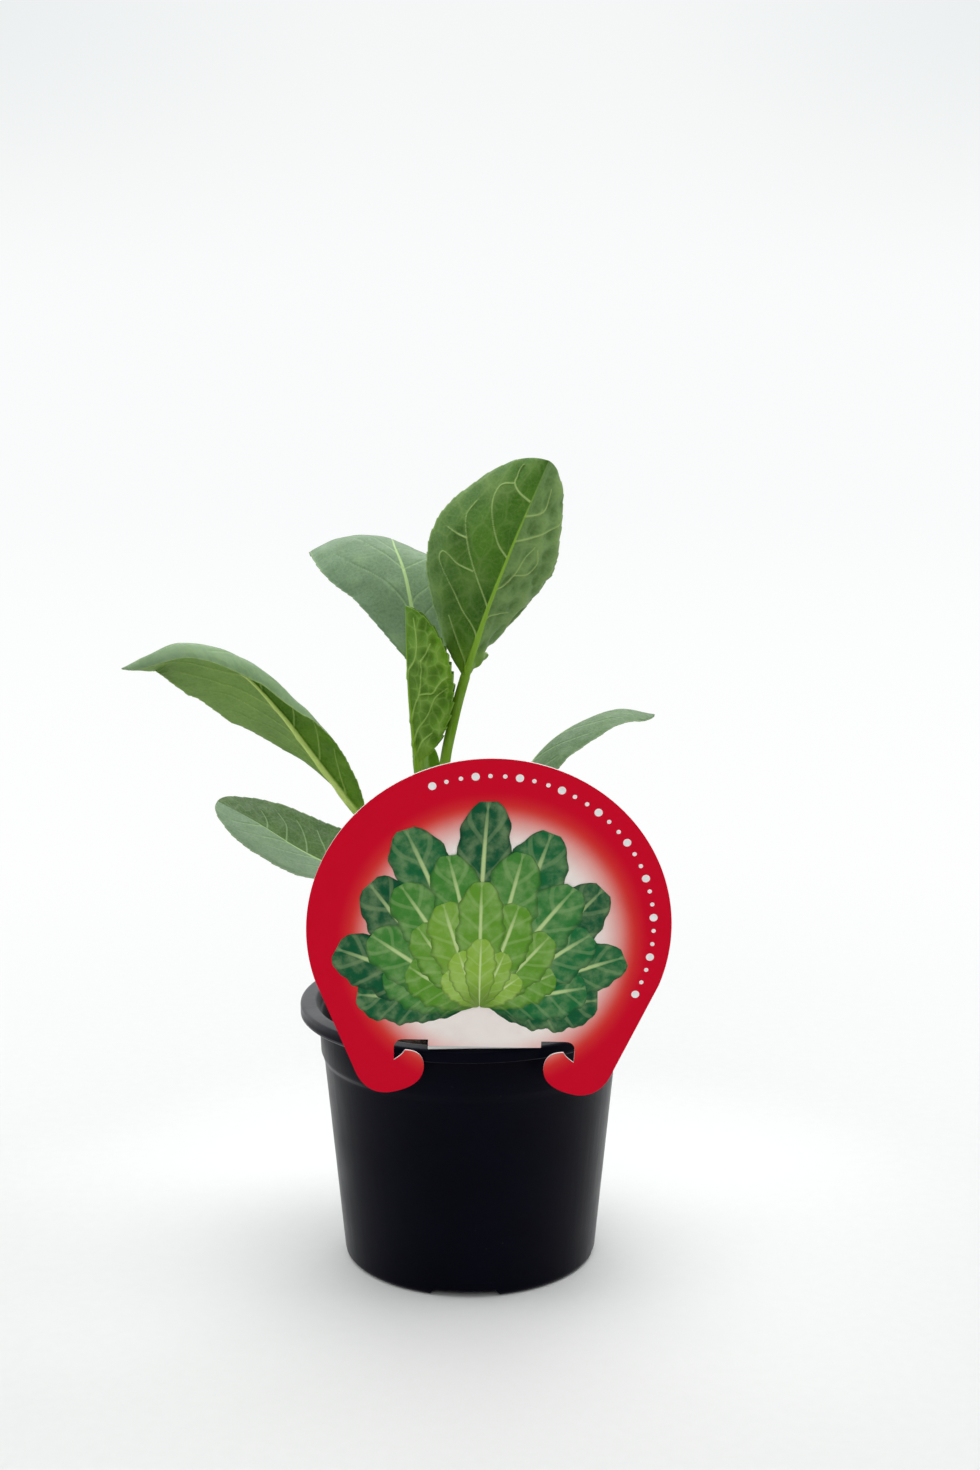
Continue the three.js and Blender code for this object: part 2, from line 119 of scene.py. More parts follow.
def apply_boolean(piece, tool, operation):
    deselect()
    piece.select_set(True)
    bpy.context.view_layer.objects.active = piece
    cut = piece.modifiers.new("cut", "BOOLEAN")
    cut.operation = operation
    cut.object = tool
    cut.solver = "EXACT"
    bpy.ops.object.modifier_apply(modifier=cut.name)
    bpy.data.objects.remove(tool)
    deselect()


def mesh_piece(name, points, faces):
    """A piece from points in millimetres and faces as rows of point numbers."""
    data = bpy.data.meshes.new(name)
    data.from_pydata((np.asarray(points) * MM).tolist(), [], faces)
    data.update()
    piece = bpy.data.objects.new(name, data)
    bpy.context.scene.collection.objects.link(piece)
    return piece


def turned(name, outline, steps):
    """A piece turned about Z from a closed outline of (radius, height)."""
    deselect()
    bpy.ops.mesh.primitive_circle_add(vertices=len(outline), radius=0.01)
    piece = bpy.context.object
    piece.name = name
    place_vertices(piece, [(r, 0, z) for r, z in outline])

    def spin():
        bpy.ops.mesh.spin(steps=steps, angle=2 * math.pi, center=(0, 0, 0), axis=(0, 0, 1))

    edit(piece, spin, merge, outward)
    if signed_volume(piece) < 0:
        piece.data.flip_normals()
    return piece


def signed_volume(piece):
    """The piece's volume, negative where its faces point inwards."""
    work = bmesh.new()
    work.from_mesh(piece.data)
    volume = work.calc_volume(signed=True)
    work.free()
    return volume


def arc(radius, centre, start, end, count):
    angles = np.radians(np.linspace(start, end, count + 1))
    return [(centre[0] + radius * math.cos(a), centre[1] + radius * math.sin(a)) for a in angles]


def give(piece, name, values):
    """Stores one number for each vertex, for the materials to read."""
    layer = piece.data.attributes.new(name, "FLOAT", "POINT")
    layer.data.foreach_set("value", np.asarray(values, float).ravel())


def finish_piece(piece, slot, *nodes):
    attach(piece, "root")
    if nodes:
        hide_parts(*nodes)


# Small helpers for materials


def node(tree, kind, inputs=None, **settings):
    made = tree.nodes.new("ShaderNode" + kind)
    for name, value in settings.items():
        setattr(made, name, value)
    for socket, value in (inputs or {}).items():
        if isinstance(value, bpy.types.NodeSocket):
            tree.links.new(value, made.inputs[socket])
        else:
            made.inputs[socket].default_value = value
    return made


def maths(tree, operation, a, b=0.0, c=0.0, clamp=False):
    return node(tree, "Math", {0: a, 1: b, 2: c}, operation=operation, use_clamp=clamp).outputs[0]


def ranged(tree, value, low, high, to_low=0.0, to_high=1.0, soft=True):
    kind = "SMOOTHSTEP" if soft else "LINEAR"
    inputs = {"Value": value, "From Min": low, "From Max": high, "To Min": to_low, "To Max": to_high}
    return node(tree, "MapRange", inputs, interpolation_type=kind).outputs["Result"]


def blend(tree, factor, a, b, way="MIX"):
    inputs = {0: factor, 6: a, 7: b}
    return node(tree, "Mix", inputs, data_type="RGBA", blend_type=way).outputs[2]


def noise_of(tree, vector, scale, detail=3.0, rough=0.55):
    inputs = {"Vector": vector, "Scale": scale, "Detail": detail, "Roughness": rough}
    return node(tree, "TexNoise", inputs).outputs["Fac"]


def cell_edges(tree, vector, scale):
    inputs = {"Vector": vector, "Scale": scale, "Randomness": 0.9}
    return node(tree, "TexVoronoi", inputs, feature="DISTANCE_TO_EDGE").outputs["Distance"]


def attribute(tree, name):
    return node(tree, "Attribute", attribute_name=name).outputs["Fac"]


def object_place(tree):
    return node(tree, "TexCoord").outputs["Object"]


def rgb(red, green, blue):
    """A colour as the eye reads it, 0 to 255, made linear."""
    linear = [(c / 255 / 12.92) if c < 10.3 else ((c / 255 + 0.055) / 1.055) ** 2.4 for c in (red, green, blue)]
    return (*linear, 1.0)


def new_material(name):
    material = bpy.data.materials.new(name)
    material.use_nodes = True
    material.node_tree.nodes.clear()
    return material, material.node_tree


def put_out(tree, surface):
    out = node(tree, "OutputMaterial")
    tree.links.new(surface, out.inputs["Surface"])


# Leaves. Each one is a stalk that runs on as the midrib, with a blade on each side.
# rib: points from the stem to the tip. blade_from: where on the rib the blade begins, counted in points.
# heading: the way the leaf grows, degrees from +X. roll: twist about the rib from the blade's base to its tip.
# Each side has its half width, where that is widest (0 base, 1 tip), how blunt its ends are, its lift above
# the flat and its curl between rib and margin. Veins run through points of (along the blade, across the side).
LEAVES = {
    "tall_leaf": {
        "stalk": 1.55, "middle": 1.4, "blade_from": 2.45, "heading": -90, "roll": [-12, -2, -2],
        "rib": [(-5.7, -2.6, 101), (-8, -8, 146.5), (-4.3, -12, 172.5), (3.7, -16, 200), (12.3, -19, 223),
                (23.4, -15, 248.7)],
        "right": {"width": 26.5, "widest": 0.6, "blunt": 0.5, "lift": [26, 11, 26], "curl": [35, 33]},
        "left": {"width": 17.6, "widest": 0.48, "blunt": 0.47, "lift": [45, 21, 38], "curl": [33, 14],
                 "lobes": [(0.052, 0.025, 5.0), (0.102, 0.02, -2.5)]},
        "right_veins": [
            [(0.01, 0.04), (0.06, 0.22), (0.12, 0.45), (0.21, 0.62)],
            [(0.15, 0), (0.19, 0.08), (0.26, 0.37), (0.33, 0.55), (0.42, 0.77), (0.47, 0.76), (0.47, 0.66)],
            [(0.45, 0.32), (0.45, 0.53), (0.47, 0.66)],
            [(0.31, 0), (0.42, 0.23), (0.52, 0.42), (0.58, 0.52), (0.68, 0.66), (0.75, 0.66)],
            [(0.58, 0.52), (0.58, 0.65), (0.59, 0.8)],
            [(0.57, 0), (0.62, 0.17), (0.74, 0.41), (0.81, 0.51), (0.85, 0.51), (0.87, 0.35)],
            [(0.82, 0), (0.84, 0.2), (0.87, 0.35), (0.9, 0.41), (0.95, 0.56)],
        ],
        "left_veins": [
            [(0.26, 0), (0.28, 0.12), (0.29, 0.28), (0.3, 0.48)],
            [(0.41, 0), (0.44, 0.12), (0.5, 0.22), (0.58, 0.27), (0.66, 0.4)],
            [(0.5, 0.22), (0.53, 0.47), (0.59, 0.56), (0.65, 0.47)],
            [(0.65, 0), (0.69, 0.27), (0.72, 0.45), (0.77, 0.74), (0.81, 0.93)],
            [(0.76, 0), (0.79, 0.25), (0.83, 0.41), (0.9, 0.42)],
        ],
        "pucker": (0.7, 1.5), "wave": (0.2, 0.3), "cell": (6, 4), "stretch": 1.6, "seed": 3,
        "bloom_and_sheen": ((0, 0.4), (0.6, 0.85)),
        "rows": 280, "columns": 78,
    },
    "back_leaf": {
        "stalk": 1.9, "middle": 1.5, "blade_from": 1.9, "heading": 95, "roll": [-2, 2, -15, 4],
        "rib": [(-7.2, 3.2, 102), (-15, 12, 154.4), (-15.8, 21, 183.2), (-19.7, 30, 207.1), (-24.1, 45, 217),
                (-27, 65, 217.5), (-34, 82, 207)],
        "right": {"width": 24, "widest": 0.52, "blunt": 0.56, "lift": [10, -7, 0], "curl": [2, -22]},
        "left": {"width": 28, "widest": 0.66, "blunt": 0.45, "lift": [11, 5, 0], "curl": [-16, -75]},
        "right_veins": [
            [(0.09, 0), (0.13, 0.12), (0.16, 0.25), (0.2, 0.5), (0.27, 0.72)],
            [(0.19, 0), (0.22, 0.12), (0.25, 0.35), (0.31, 0.6), (0.4, 0.78)],
            [(0.34, 0), (0.38, 0.25), (0.45, 0.5), (0.55, 0.74)],
            [(0.5, 0), (0.55, 0.25), (0.62, 0.5), (0.7, 0.72)],
            [(0.66, 0), (0.71, 0.25), (0.78, 0.5), (0.85, 0.66)],
        ],
        "left_veins": [
            [(0.13, 0), (0.2, 0.12), (0.25, 0.24), (0.33, 0.41), (0.42, 0.6), (0.52, 0.74)],
            [(0.34, 0), (0.41, 0.11), (0.5, 0.26), (0.6, 0.45), (0.68, 0.66)],
            [(0.46, 0), (0.54, 0.12), (0.64, 0.3), (0.74, 0.5), (0.8, 0.68)],
            [(0.64, 0), (0.72, 0.2), (0.8, 0.42), (0.88, 0.6)],
        ],
        "pucker": (0.5, 0.5), "wave": (0.3, 0.35), "cell": (8, 8), "seed": 7,
        "bloom_and_sheen": ((0.55, 0.75), (0.6, 0.8)),
    },
    "young_leaf": {
        "stalk": 1.6, "middle": 1.2, "blade_from": 1.9, "heading": 180, "roll": [0, -1, 0],
        "rib": [(-9.8, -2.3, 106), (-13.6, -8, 138.5), (-15.9, -11, 161), (-17.4, -13.2, 177.5),
                (-18.1, -14.8, 191), (-18.4, -16, 206.3)],
        "right": {"width": 14, "widest": 0.45, "blunt": 0.6, "lift": [68, 68, 68], "curl": [10, 10]},
        "left": {"width": 14.7, "widest": 0.5, "blunt": 0.6, "lift": [60, 60, 60], "curl": [11, 10]},
        "right_veins": [
            [(0.08, 0), (0.17, 0.2), (0.28, 0.45), (0.4, 0.7)],
            [(0.25, 0), (0.35, 0.2), (0.48, 0.42), (0.6, 0.68)],
            [(0.45, 0), (0.55, 0.2), (0.67, 0.4), (0.78, 0.6)],
            [(0.65, 0), (0.74, 0.2), (0.84, 0.4)],
        ],
        "left_veins": [
            [(0.02, 0.1), (0.08, 0.28), (0.12, 0.42), (0.16, 0.65)],
            [(0.08, 0), (0.17, 0.17), (0.26, 0.42), (0.4, 0.63), (0.47, 0.87)],
            [(0.22, 0), (0.34, 0.14), (0.41, 0.25), (0.55, 0.31), (0.66, 0.35)],
            [(0.41, 0.25), (0.42, 0.42), (0.43, 0.56), (0.51, 0.73), (0.56, 0.9)],
            [(0.52, 0), (0.59, 0.04), (0.66, 0.19), (0.75, 0.3), (0.85, 0.36), (0.93, 0.4)],
            [(0.66, 0.35), (0.7, 0.45), (0.78, 0.69)],
        ],
        "pucker": (1.5, 1.5), "wave": (0.3, 0.3), "cell": (3.2, 3.2), "stretch": 1.4, "seed": 11,
        "bloom_and_sheen": ((0.4, 0), (0.45, 0)),
        "teeth": 0.75,
    },
    "arching_leaf": {
        "stalk": 2.1, "middle": 2.1, "blade_from": 1.9, "heading": 180, "roll": [-18, -47, -37, 10],
        "rib": [(-10.4, -0.8, 95), (-20.8, -4, 128), (-33.2, -6, 142), (-46.3, -9, 159.8), (-56.5, -11, 174),
                (-68.5, -11, 186.3), (-85.5, -7, 192), (-105.4, 3, 184.7)],
        "right": {"width": 21.2, "widest": 0.55, "blunt": 0.9, "lift": [5, -3, -15, -12], "curl": [0, 0],
                  "sweep": [0.8, 0.3, 0.64, 2]},
        "left": {"width": 16.1, "widest": 0.56, "blunt": 0.62, "lift": [30, 34, 31, 40], "curl": [24, -111, -112],
                 "sweep": [-0.29, -0.33, -0.64, -1.1]},
        "right_veins": [
            [(0.03, 0), (0.12, 0.2), (0.22, 0.42), (0.32, 0.7)],
            [(0.15, 0), (0.24, 0.18), (0.36, 0.42), (0.46, 0.72)],
            [(0.28, 0), (0.37, 0.18), (0.5, 0.42), (0.61, 0.72)],
            [(0.42, 0), (0.51, 0.2), (0.64, 0.46), (0.74, 0.72)],
            [(0.58, 0), (0.67, 0.22), (0.79, 0.48), (0.87, 0.7)],
            [(0.75, 0), (0.83, 0.25), (0.91, 0.5)],
        ],
        "left_veins": [
            [(0.06, 0), (0.1, 0.25), (0.16, 0.5), (0.24, 0.78)],
            [(0.19, 0), (0.23, 0.25), (0.3, 0.5), (0.4, 0.76)],
            [(0.33, 0), (0.39, 0.25), (0.47, 0.5), (0.57, 0.76)],
            [(0.5, 0), (0.57, 0.25), (0.66, 0.5), (0.75, 0.74)],
            [(0.68, 0), (0.76, 0.25), (0.85, 0.5)],
        ],
        "pucker": (0.35, 0.35), "wave": (0.1, 0.1), "cell": (7, 6), "seed": 19,
        "bloom_and_sheen": ((0.45, 0.45), (0, 0)), "bloom_upper": 0,
    },
    "low_leaf": {
        "stalk": 1.8, "middle": 1.4, "blade_from": 1.3, "heading": 180, "roll": [4, 5, 1],
        "rib": [(-8, 1.8, 86), (-24.2, 6, 113.6), (-39.3, 9, 119.5), (-53, 12, 125.7), (-66.4, 14, 133.8),
                (-79.1, 15, 140.7)],
        "right": {"width": 20.5, "widest": 0.42, "blunt": 0.45, "lift": [20, 15, 7], "curl": [0, 0]},
        "left": {"width": 19.8, "widest": 0.58, "blunt": 0.5, "lift": [1, -4, -8], "curl": [0, 0]},
        "right_veins": [
            [(0.12, 0), (0.17, 0.28), (0.24, 0.56), (0.31, 0.74)],
            [(0.28, 0), (0.35, 0.3), (0.41, 0.5), (0.46, 0.7)],
            [(0.42, 0), (0.46, 0.24), (0.52, 0.5), (0.58, 0.7)],
            [(0.55, 0), (0.58, 0.24), (0.61, 0.43), (0.68, 0.66)],
            [(0.67, 0), (0.7, 0.24), (0.76, 0.5)],
        ],
        "left_veins": [
            [(0.2, 0), (0.28, 0.24), (0.36, 0.42), (0.46, 0.62)],
            [(0.36, 0), (0.44, 0.18), (0.52, 0.34), (0.62, 0.55)],
            [(0.53, 0), (0.6, 0.16), (0.69, 0.42), (0.8, 0.7)],
            [(0.7, 0), (0.78, 0.26), (0.86, 0.5)],
        ],
        "pucker": (0.3, 0.3), "wave": (0.15, 0.15), "cell": (7, 7), "seed": 23, "teeth": 0.5,
        "bloom_and_sheen": ((0, 0), (0.6, 0.6)),
    },
    "right_leaf": {
        "stalk": 1.7, "middle": 1.3, "blade_from": 1.6, "heading": 0, "roll": [-5, 1, 4],
        "rib": [(-3.4, 0.6, 92), (1.5, 6, 125.6), (12.4, 12, 143.5), (25.7, 17, 159.8), (44.3, 21, 168.5),
                (58, 24, 166.7)],
        "right": {"width": 17, "widest": 0.42, "blunt": 0.64, "lift": [-10, -4, -1], "curl": [-29, -12]},
        "left": {"width": 16, "widest": 0.5, "blunt": 0.6, "lift": [-10, -10, -10], "curl": [-20, -20]},
        "right_veins": [
            [(0.12, 0), (0.18, 0.25), (0.26, 0.5), (0.36, 0.74)],
            [(0.28, 0), (0.35, 0.25), (0.44, 0.5), (0.54, 0.74)],
            [(0.46, 0), (0.53, 0.25), (0.62, 0.5), (0.72, 0.7)],
            [(0.64, 0), (0.72, 0.25), (0.81, 0.5)],
        ],
        "left_veins": [
            [(0.16, 0), (0.22, 0.25), (0.3, 0.5), (0.4, 0.74)],
            [(0.33, 0), (0.4, 0.25), (0.49, 0.5), (0.6, 0.74)],
            [(0.52, 0), (0.6, 0.25), (0.69, 0.5), (0.78, 0.68)],
            [(0.7, 0), (0.78, 0.25), (0.86, 0.45)],
        ],
        "pucker": (0.3, 0.3), "wave": (0.2, 0.2), "cell": (6, 6), "seed": 29,
        "bloom_and_sheen": ((0.4, 0.4), (0.4, 0.4)),
    },
    "heart_leaf_front": {
        "stalk": 1, "middle": 0.8, "blade_from": 0.7, "heading": -120, "roll": [0, 0, 0],
        "rib": [(-8.4, -0.8, 110.8), (-9.6, -2.2, 130), (-11.4, -3.6, 148), (-12.4, -4.4, 163)],
        "right": {"width": 4, "widest": 0.55, "blunt": 0.5, "lift": [35, 30, 35], "curl": [30, 30]},
        "left": {"width": 4, "widest": 0.55, "blunt": 0.5, "lift": [35, 30, 35], "curl": [30, 30]},
        "right_veins": [[(0.15, 0), (0.3, 0.4), (0.42, 0.8)], [(0.4, 0), (0.55, 0.4), (0.68, 0.8)]],
        "left_veins": [[(0.2, 0), (0.35, 0.4), (0.48, 0.8)], [(0.5, 0), (0.64, 0.4), (0.76, 0.8)]],
        "pucker": (0.4, 0.4), "wave": (0.2, 0.2), "cell": (3, 3), "bloom_and_sheen": ((0, 0), (0, 0)), "seed": 31,
        "rows": 100, "columns": 26,
    },
    "heart_leaf_back": {
        "stalk": 0.9, "middle": 0.7, "blade_from": 0.5, "heading": 60, "roll": [0, 0, 0],
        "rib": [(-7.2, 1, 110.8), (-6.6, 2.4, 122), (-5.6, 3.6, 134), (-5.2, 4, 143)],
        "right": {"width": 3.4, "widest": 0.5, "blunt": 0.5, "lift": [40, 40, 40], "curl": [30, 30]},
        "left": {"width": 3.4, "widest": 0.5, "blunt": 0.5, "lift": [40, 40, 40], "curl": [30, 30]},
        "right_veins": [[(0.2, 0), (0.35, 0.4), (0.5, 0.8)], [(0.5, 0), (0.65, 0.4), (0.78, 0.8)]],
        "left_veins": [[(0.15, 0), (0.3, 0.4), (0.44, 0.8)], [(0.45, 0), (0.6, 0.4), (0.72, 0.8)]],
        "pucker": (0.4, 0.4), "wave": (0.2, 0.2), "cell": (3, 3), "bloom_and_sheen": ((0, 0), (0, 0)), "seed": 37,
        "rows": 80, "columns": 24,
    },
}

# What all leaves share
BLADE_ROWS = 250
BLADE_COLUMNS = 62
STALK_ROWS = 26
WING = 0.2
TIP_RIB = 0.13
RIB_TAPER = 0.5
RIB_FADE = 0.65
BLADE_THICKNESS = 0.5
MARGIN_THICKNESS = 0.22
TOOTH_SPACING = 3.3
TOOTH_DEPTH = 0.32
WAVE_LENGTH = 21.0
VEIN_RIDGE = 0.22
VEIN_WIDTH = 0.36
VEIN_END_WIDTH = 0.26
VEIN_END = 0.8
DOME_SPREAD = (0.36, 0.52)
FOOT_LENGTH = 9.0
FOOT_DEPTH = 0.8
FOOT_DROP = 2.2


def along(points, t):
    """A smooth curve through the points; t counts points from 0."""
    points = np.asarray(points, float)
    if points.ndim == 1:
        points = points[:, None]
    last = len(points) - 1
    far = np.vstack([2 * points[0] - points[1], points, 2 * points[-1] - points[-2]])
    t = np.clip(np.asarray(t, float), 0, last)
    i = np.minimum(t.astype(int), last - 1)
    f = (t - i)[:, None]
    a, b, c, d = far[i], far[i + 1], far[i + 2], far[i + 3]
    return 0.5 * (2 * b + (c - a) * f + (2 * a - 5 * b + 4 * c - d) * f**2 + (3 * b - a - 3 * c + d) * f**3)


def angle_along(values, s):
    """Degrees given from base to tip, read at s from 0 to 1, in radians."""
    return np.radians(along(values, s * (len(values) - 1))[:, 0])


def half_width(side, s):
    """Half width of one side of the blade, with its teeth left out."""
    inside = np.clip(s, 1e-6, 1 - 1e-6)
    widest = side["widest"]
    base = side["blunt"] * widest / (1 - widest)
    width = side["width"] * (inside / widest) ** base * ((1 - inside) / (1 - widest)) ** side["blunt"]
    for place, spread, depth in side.get("lobes", []):
        width = width + depth * np.exp(-(((s - place) / spread) ** 4))
    return np.where((s <= 0) | (s >= 1), 0.0, width)


def leaf_frames(leaf, t):
    """Points of the rib, and the directions along it, across it and out of its upper side."""
    last = len(leaf["rib"]) - 1
    step = 1e-3
    ahead = along(leaf["rib"], np.minimum(t + step, last)) - along(leaf["rib"], np.maximum(t - step, 0))
    forward = ahead / np.linalg.norm(ahead, axis=1)[:, None]
    heading = leaf["heading"] * RAD
    flat = np.array([math.sin(heading), -math.cos(heading), 0.0])
    side = flat - (forward @ flat)[:, None] * forward
    side /= np.linalg.norm(side, axis=1)[:, None]
    up = np.cross(side, forward)
    s = np.clip((t - leaf["blade_from"]) / (last - leaf["blade_from"]), 0, 1)
    roll = angle_along(leaf["roll"], s)[:, None]
    right = side * np.cos(roll) + up * np.sin(roll)
    face = up * np.cos(roll) - side * np.sin(roll)
    return along(leaf["rib"], t), forward, right, face, s


def blister_field(points, size, seed):
    """Soft domes in an uneven grid, and how far each point is from the valleys between them, in millimetres."""
    rng = np.random.default_rng(seed)
    low = points.min(axis=0) - size
    high = points.max(axis=0) + size
    counts = np.ceil((high - low) / size).astype(int)
    grid = np.stack(np.meshgrid(np.arange(counts[0]), np.arange(counts[1]), indexing="ij"), -1).reshape(-1, 2)
    centres = low + (grid + 0.5 + rng.uniform(-0.42, 0.42, grid.shape)) * size
    spread = size * rng.uniform(DOME_SPREAD[0], DOME_SPREAD[1], len(centres))
    heights = rng.uniform(0.55, 1.0, len(centres))
    gap = np.empty(len(points))
    dome = np.empty(len(points))
    for start in range(0, len(points), 4000):
        part = points[start:start + 4000]
        distance = np.linalg.norm(part[:, None, :] - centres[None], axis=2)
        nearest = np.sort(distance, axis=1)
        gap[start:start + 4000] = nearest[:, 1] - nearest[:, 0]
        dome[start:start + 4000] = (heights * np.exp(-((distance / spread) ** 2))).sum(axis=1)
    return gap, np.clip(dome, 0, 1.1)


def vein_field(points, veins, flat_place):
    """Strength of the side veins at each point: 1 on a vein, falling away beside it."""
    strength = np.zeros(len(points))
    for vein in veins:
        path = along(vein, np.linspace(0, len(vein) - 1, 90))
        line = flat_place(path[:, 0], path[:, 1])
        spread = np.linspace(VEIN_WIDTH, VEIN_END_WIDTH, len(line))
        taper = np.linspace(1.0, VEIN_END, len(line))
        for start in range(0, len(points), 8000):
            part = points[start:start + 8000]
            distance = np.linalg.norm(part[:, None, :] - line[None], axis=2)
            best = (taper[None] * np.exp(-((distance / spread[None]) ** 2))).max(axis=1)
            strength[start:start + 8000] = np.maximum(strength[start:start + 8000], best)
    return strength


def leaf_rows(leaf):
    """Where the rows of the mesh stand along the rib, closer together at both ends of the blade."""
    last = len(leaf["rib"]) - 1
    stalk = np.linspace(0, leaf["blade_from"], STALK_ROWS, endpoint=False)
    rows = leaf.get("rows", BLADE_ROWS)
    eased = 0.5 - 0.5 * np.cos(np.pi * np.linspace(0, 1, rows))
    even = np.linspace(0, 1, rows)
    blade = leaf["blade_from"] + (last - leaf["blade_from"]) * (0.55 * eased + 0.45 * even)
    return np.concatenate([stalk, blade])


def stem_axis(height):
    """The middle of the stem at each height."""
    across = np.interp(height, [point[2] for point in STEM_PATH], [point[0] for point in STEM_PATH])
    return np.stack([across, 0 * height, height], -1)


def make_leaf(name, leaf, material):
    columns = leaf.get("columns", BLADE_COLUMNS)
    t = leaf_rows(leaf)
    place, forward, right, face, s = leaf_frames(leaf, t)
    steps = np.linalg.norm(np.diff(place, axis=0), axis=1)
    length = np.concatenate([[0], np.cumsum(steps)])
    # The foot of the stalk bends down into the stem
    foot = np.clip(1 - length / FOOT_LENGTH, 0, 1)[:, None] ** 2
    place = place + foot * (FOOT_DEPTH * (stem_axis(place[:, 2]) - place) - (0, 0, FOOT_DROP))
    blade_length = length[-1] - np.interp(leaf["blade_from"], t, length)
    in_stalk = t < leaf["blade_from"]
    rib = np.where(
        in_stalk,
        leaf["stalk"] + (leaf["middle"] - leaf["stalk"]) * t / leaf["blade_from"],
        leaf["middle"] + (TIP_RIB - leaf["middle"]) * s**RIB_TAPER,
    )
    rib = rib * (1 + 0.35 * np.exp(-length / 3.0))
    ease = np.minimum(t / leaf["blade_from"], 1) ** 3
    # Across each side the columns stand closer at the rib and at the margin
    u = 0.5 - 0.5 * np.cos(np.pi * np.linspace(0, 1, columns))
    u = 0.6 * np.linspace(0, 1, columns) + 0.4 * u
    middles, normals, fields = [], [], []
    for key, sign in (("left", -1), ("right", 1)):
        side = leaf[key]
        blade = half_width(side, s)
        least = rib + WING * np.minimum(1, length / 12)
        width = (blade**4 + least**4) ** 0.25
        lift = angle_along(side["lift"], s) * ease
        curl = angle_along(side["curl"], s) * ease
        curl = np.where(np.abs(curl) < 1e-3, 1e-3, curl)
        phase = leaf["seed"] + (0 if sign > 0 else 1.7)
        teeth = (length / TOOTH_SPACING + 0.25 * np.sin(length * 0.31 + phase)) % 1.0
        tooth = leaf.get("teeth", TOOTH_DEPTH) * (teeth - 0.5) * np.clip(blade / 6, 0, 1)
        angle = lift[:, None] + curl[:, None] * u
        out = (np.sin(angle) - np.sin(lift)[:, None]) / curl[:, None]
        rise = (np.cos(lift)[:, None] - np.cos(angle)) / curl[:, None]
        sweep = side.get("sweep", [0, 0])
        lean = (along(sweep, s * (len(sweep) - 1))[:, 0] * blade)[:, None] * u**1.5
        reach = width[:, None] * np.ones_like(u) + tooth[:, None] * u**6
        middle = (
            place[:, None]
            + (reach * out)[..., None] * sign * right[:, None]
            + (reach * rise)[..., None] * face[:, None]
            + lean[..., None] * forward[:, None]
        )
        normal = np.cos(angle)[..., None] * face[:, None] - sign * np.sin(angle)[..., None] * right[:, None]
        flat = np.stack([s[:, None] * blade_length + 0 * u, width[:, None] * u], -1)

        def flat_place(along_blade, across, side=side):
            return np.stack([along_blade * blade_length, across * half_width(side, along_blade)], -1)

        points = flat.reshape(-1, 2)
        vein = vein_field(points, leaf[key + "_veins"], flat_place).reshape(width.size, -1)
        vein *= np.clip(blade / 4, 0, 1)[:, None]
        cell = leaf["cell"][0 if sign > 0 else 1]
        gap, dome = blister_field(points / (leaf.get("stretch", 1), 1), cell, leaf["seed"] + sign)
        gap = gap.reshape(width.size, -1)
        # The blade swells between the veins, towards its upper side, and dips at the veins
        swell = dome.reshape(width.size, -1) * (1 - 0.8 * vein)
        fade = np.clip(blade / 8, 0, 1)[:, None] * np.clip(u / 0.12, 0, 1) * np.clip((1 - u) / 0.1, 0.25, 1)
        amount = leaf["pucker"][0 if sign > 0 else 1]
        wave_size = leaf["wave"][0 if sign > 0 else 1]
        wave = np.sin(2 * np.pi * length / WAVE_LENGTH + phase) + 0.5 * np.sin(length * 0.73 + 2 * phase)
        shift = amount * (swell - 0.5) * fade * (0.55 + 0.6 * u)
        shift = shift + wave_size * wave[:, None] * u**3 * np.clip(blade / 10, 0, 1)[:, None]
        middle = middle + shift[..., None] * normal
        across = width[:, None] * u
        round_part = np.sqrt(np.maximum(rib[:, None] ** 2 - across**2, 0))
        thin = 0.5 * (MARGIN_THICKNESS + (BLADE_THICKNESS - MARGIN_THICKNESS) * np.clip((1 - u) * 8, 0, 1))
        thin = np.broadcast_to(thin, across.shape)
        # A shallow channel runs along the top of the stalk and midrib
        channel = 0.3 * rib[:, None] * np.exp(-((across / (0.55 * rib[:, None])) ** 2))
        above = np.maximum(thin, 0.5 * round_part) - 0.6 * channel - 0.12 * vein
        beneath = (thin**3 + round_part**3) ** (1 / 3) + VEIN_RIDGE * vein
        net = np.exp(-((gap / (0.1 * cell)) ** 2)) * fade
        # How much waxy grey each side has from rib to margin: partly the leaf's real wax, partly painted sheen
        bloom_and_sheen = np.interp(u**2, (0, 1), leaf["bloom_and_sheen"][0 if sign > 0 else 1]) + 0 * across
        rib_mask = np.exp(-((across / (rib[:, None] * 0.85)) ** 4)) * (1 - RIB_FADE * s[:, None] ** 3)
        crown = (swell - 0.5) * fade * min(amount, 1.0) * (0.55 + 0.6 * u)
        edge = u + 0 * across
        fields.append((middle, normal, above, beneath, vein, net, crown, rib_mask, bloom_and_sheen, edge, sign * across))
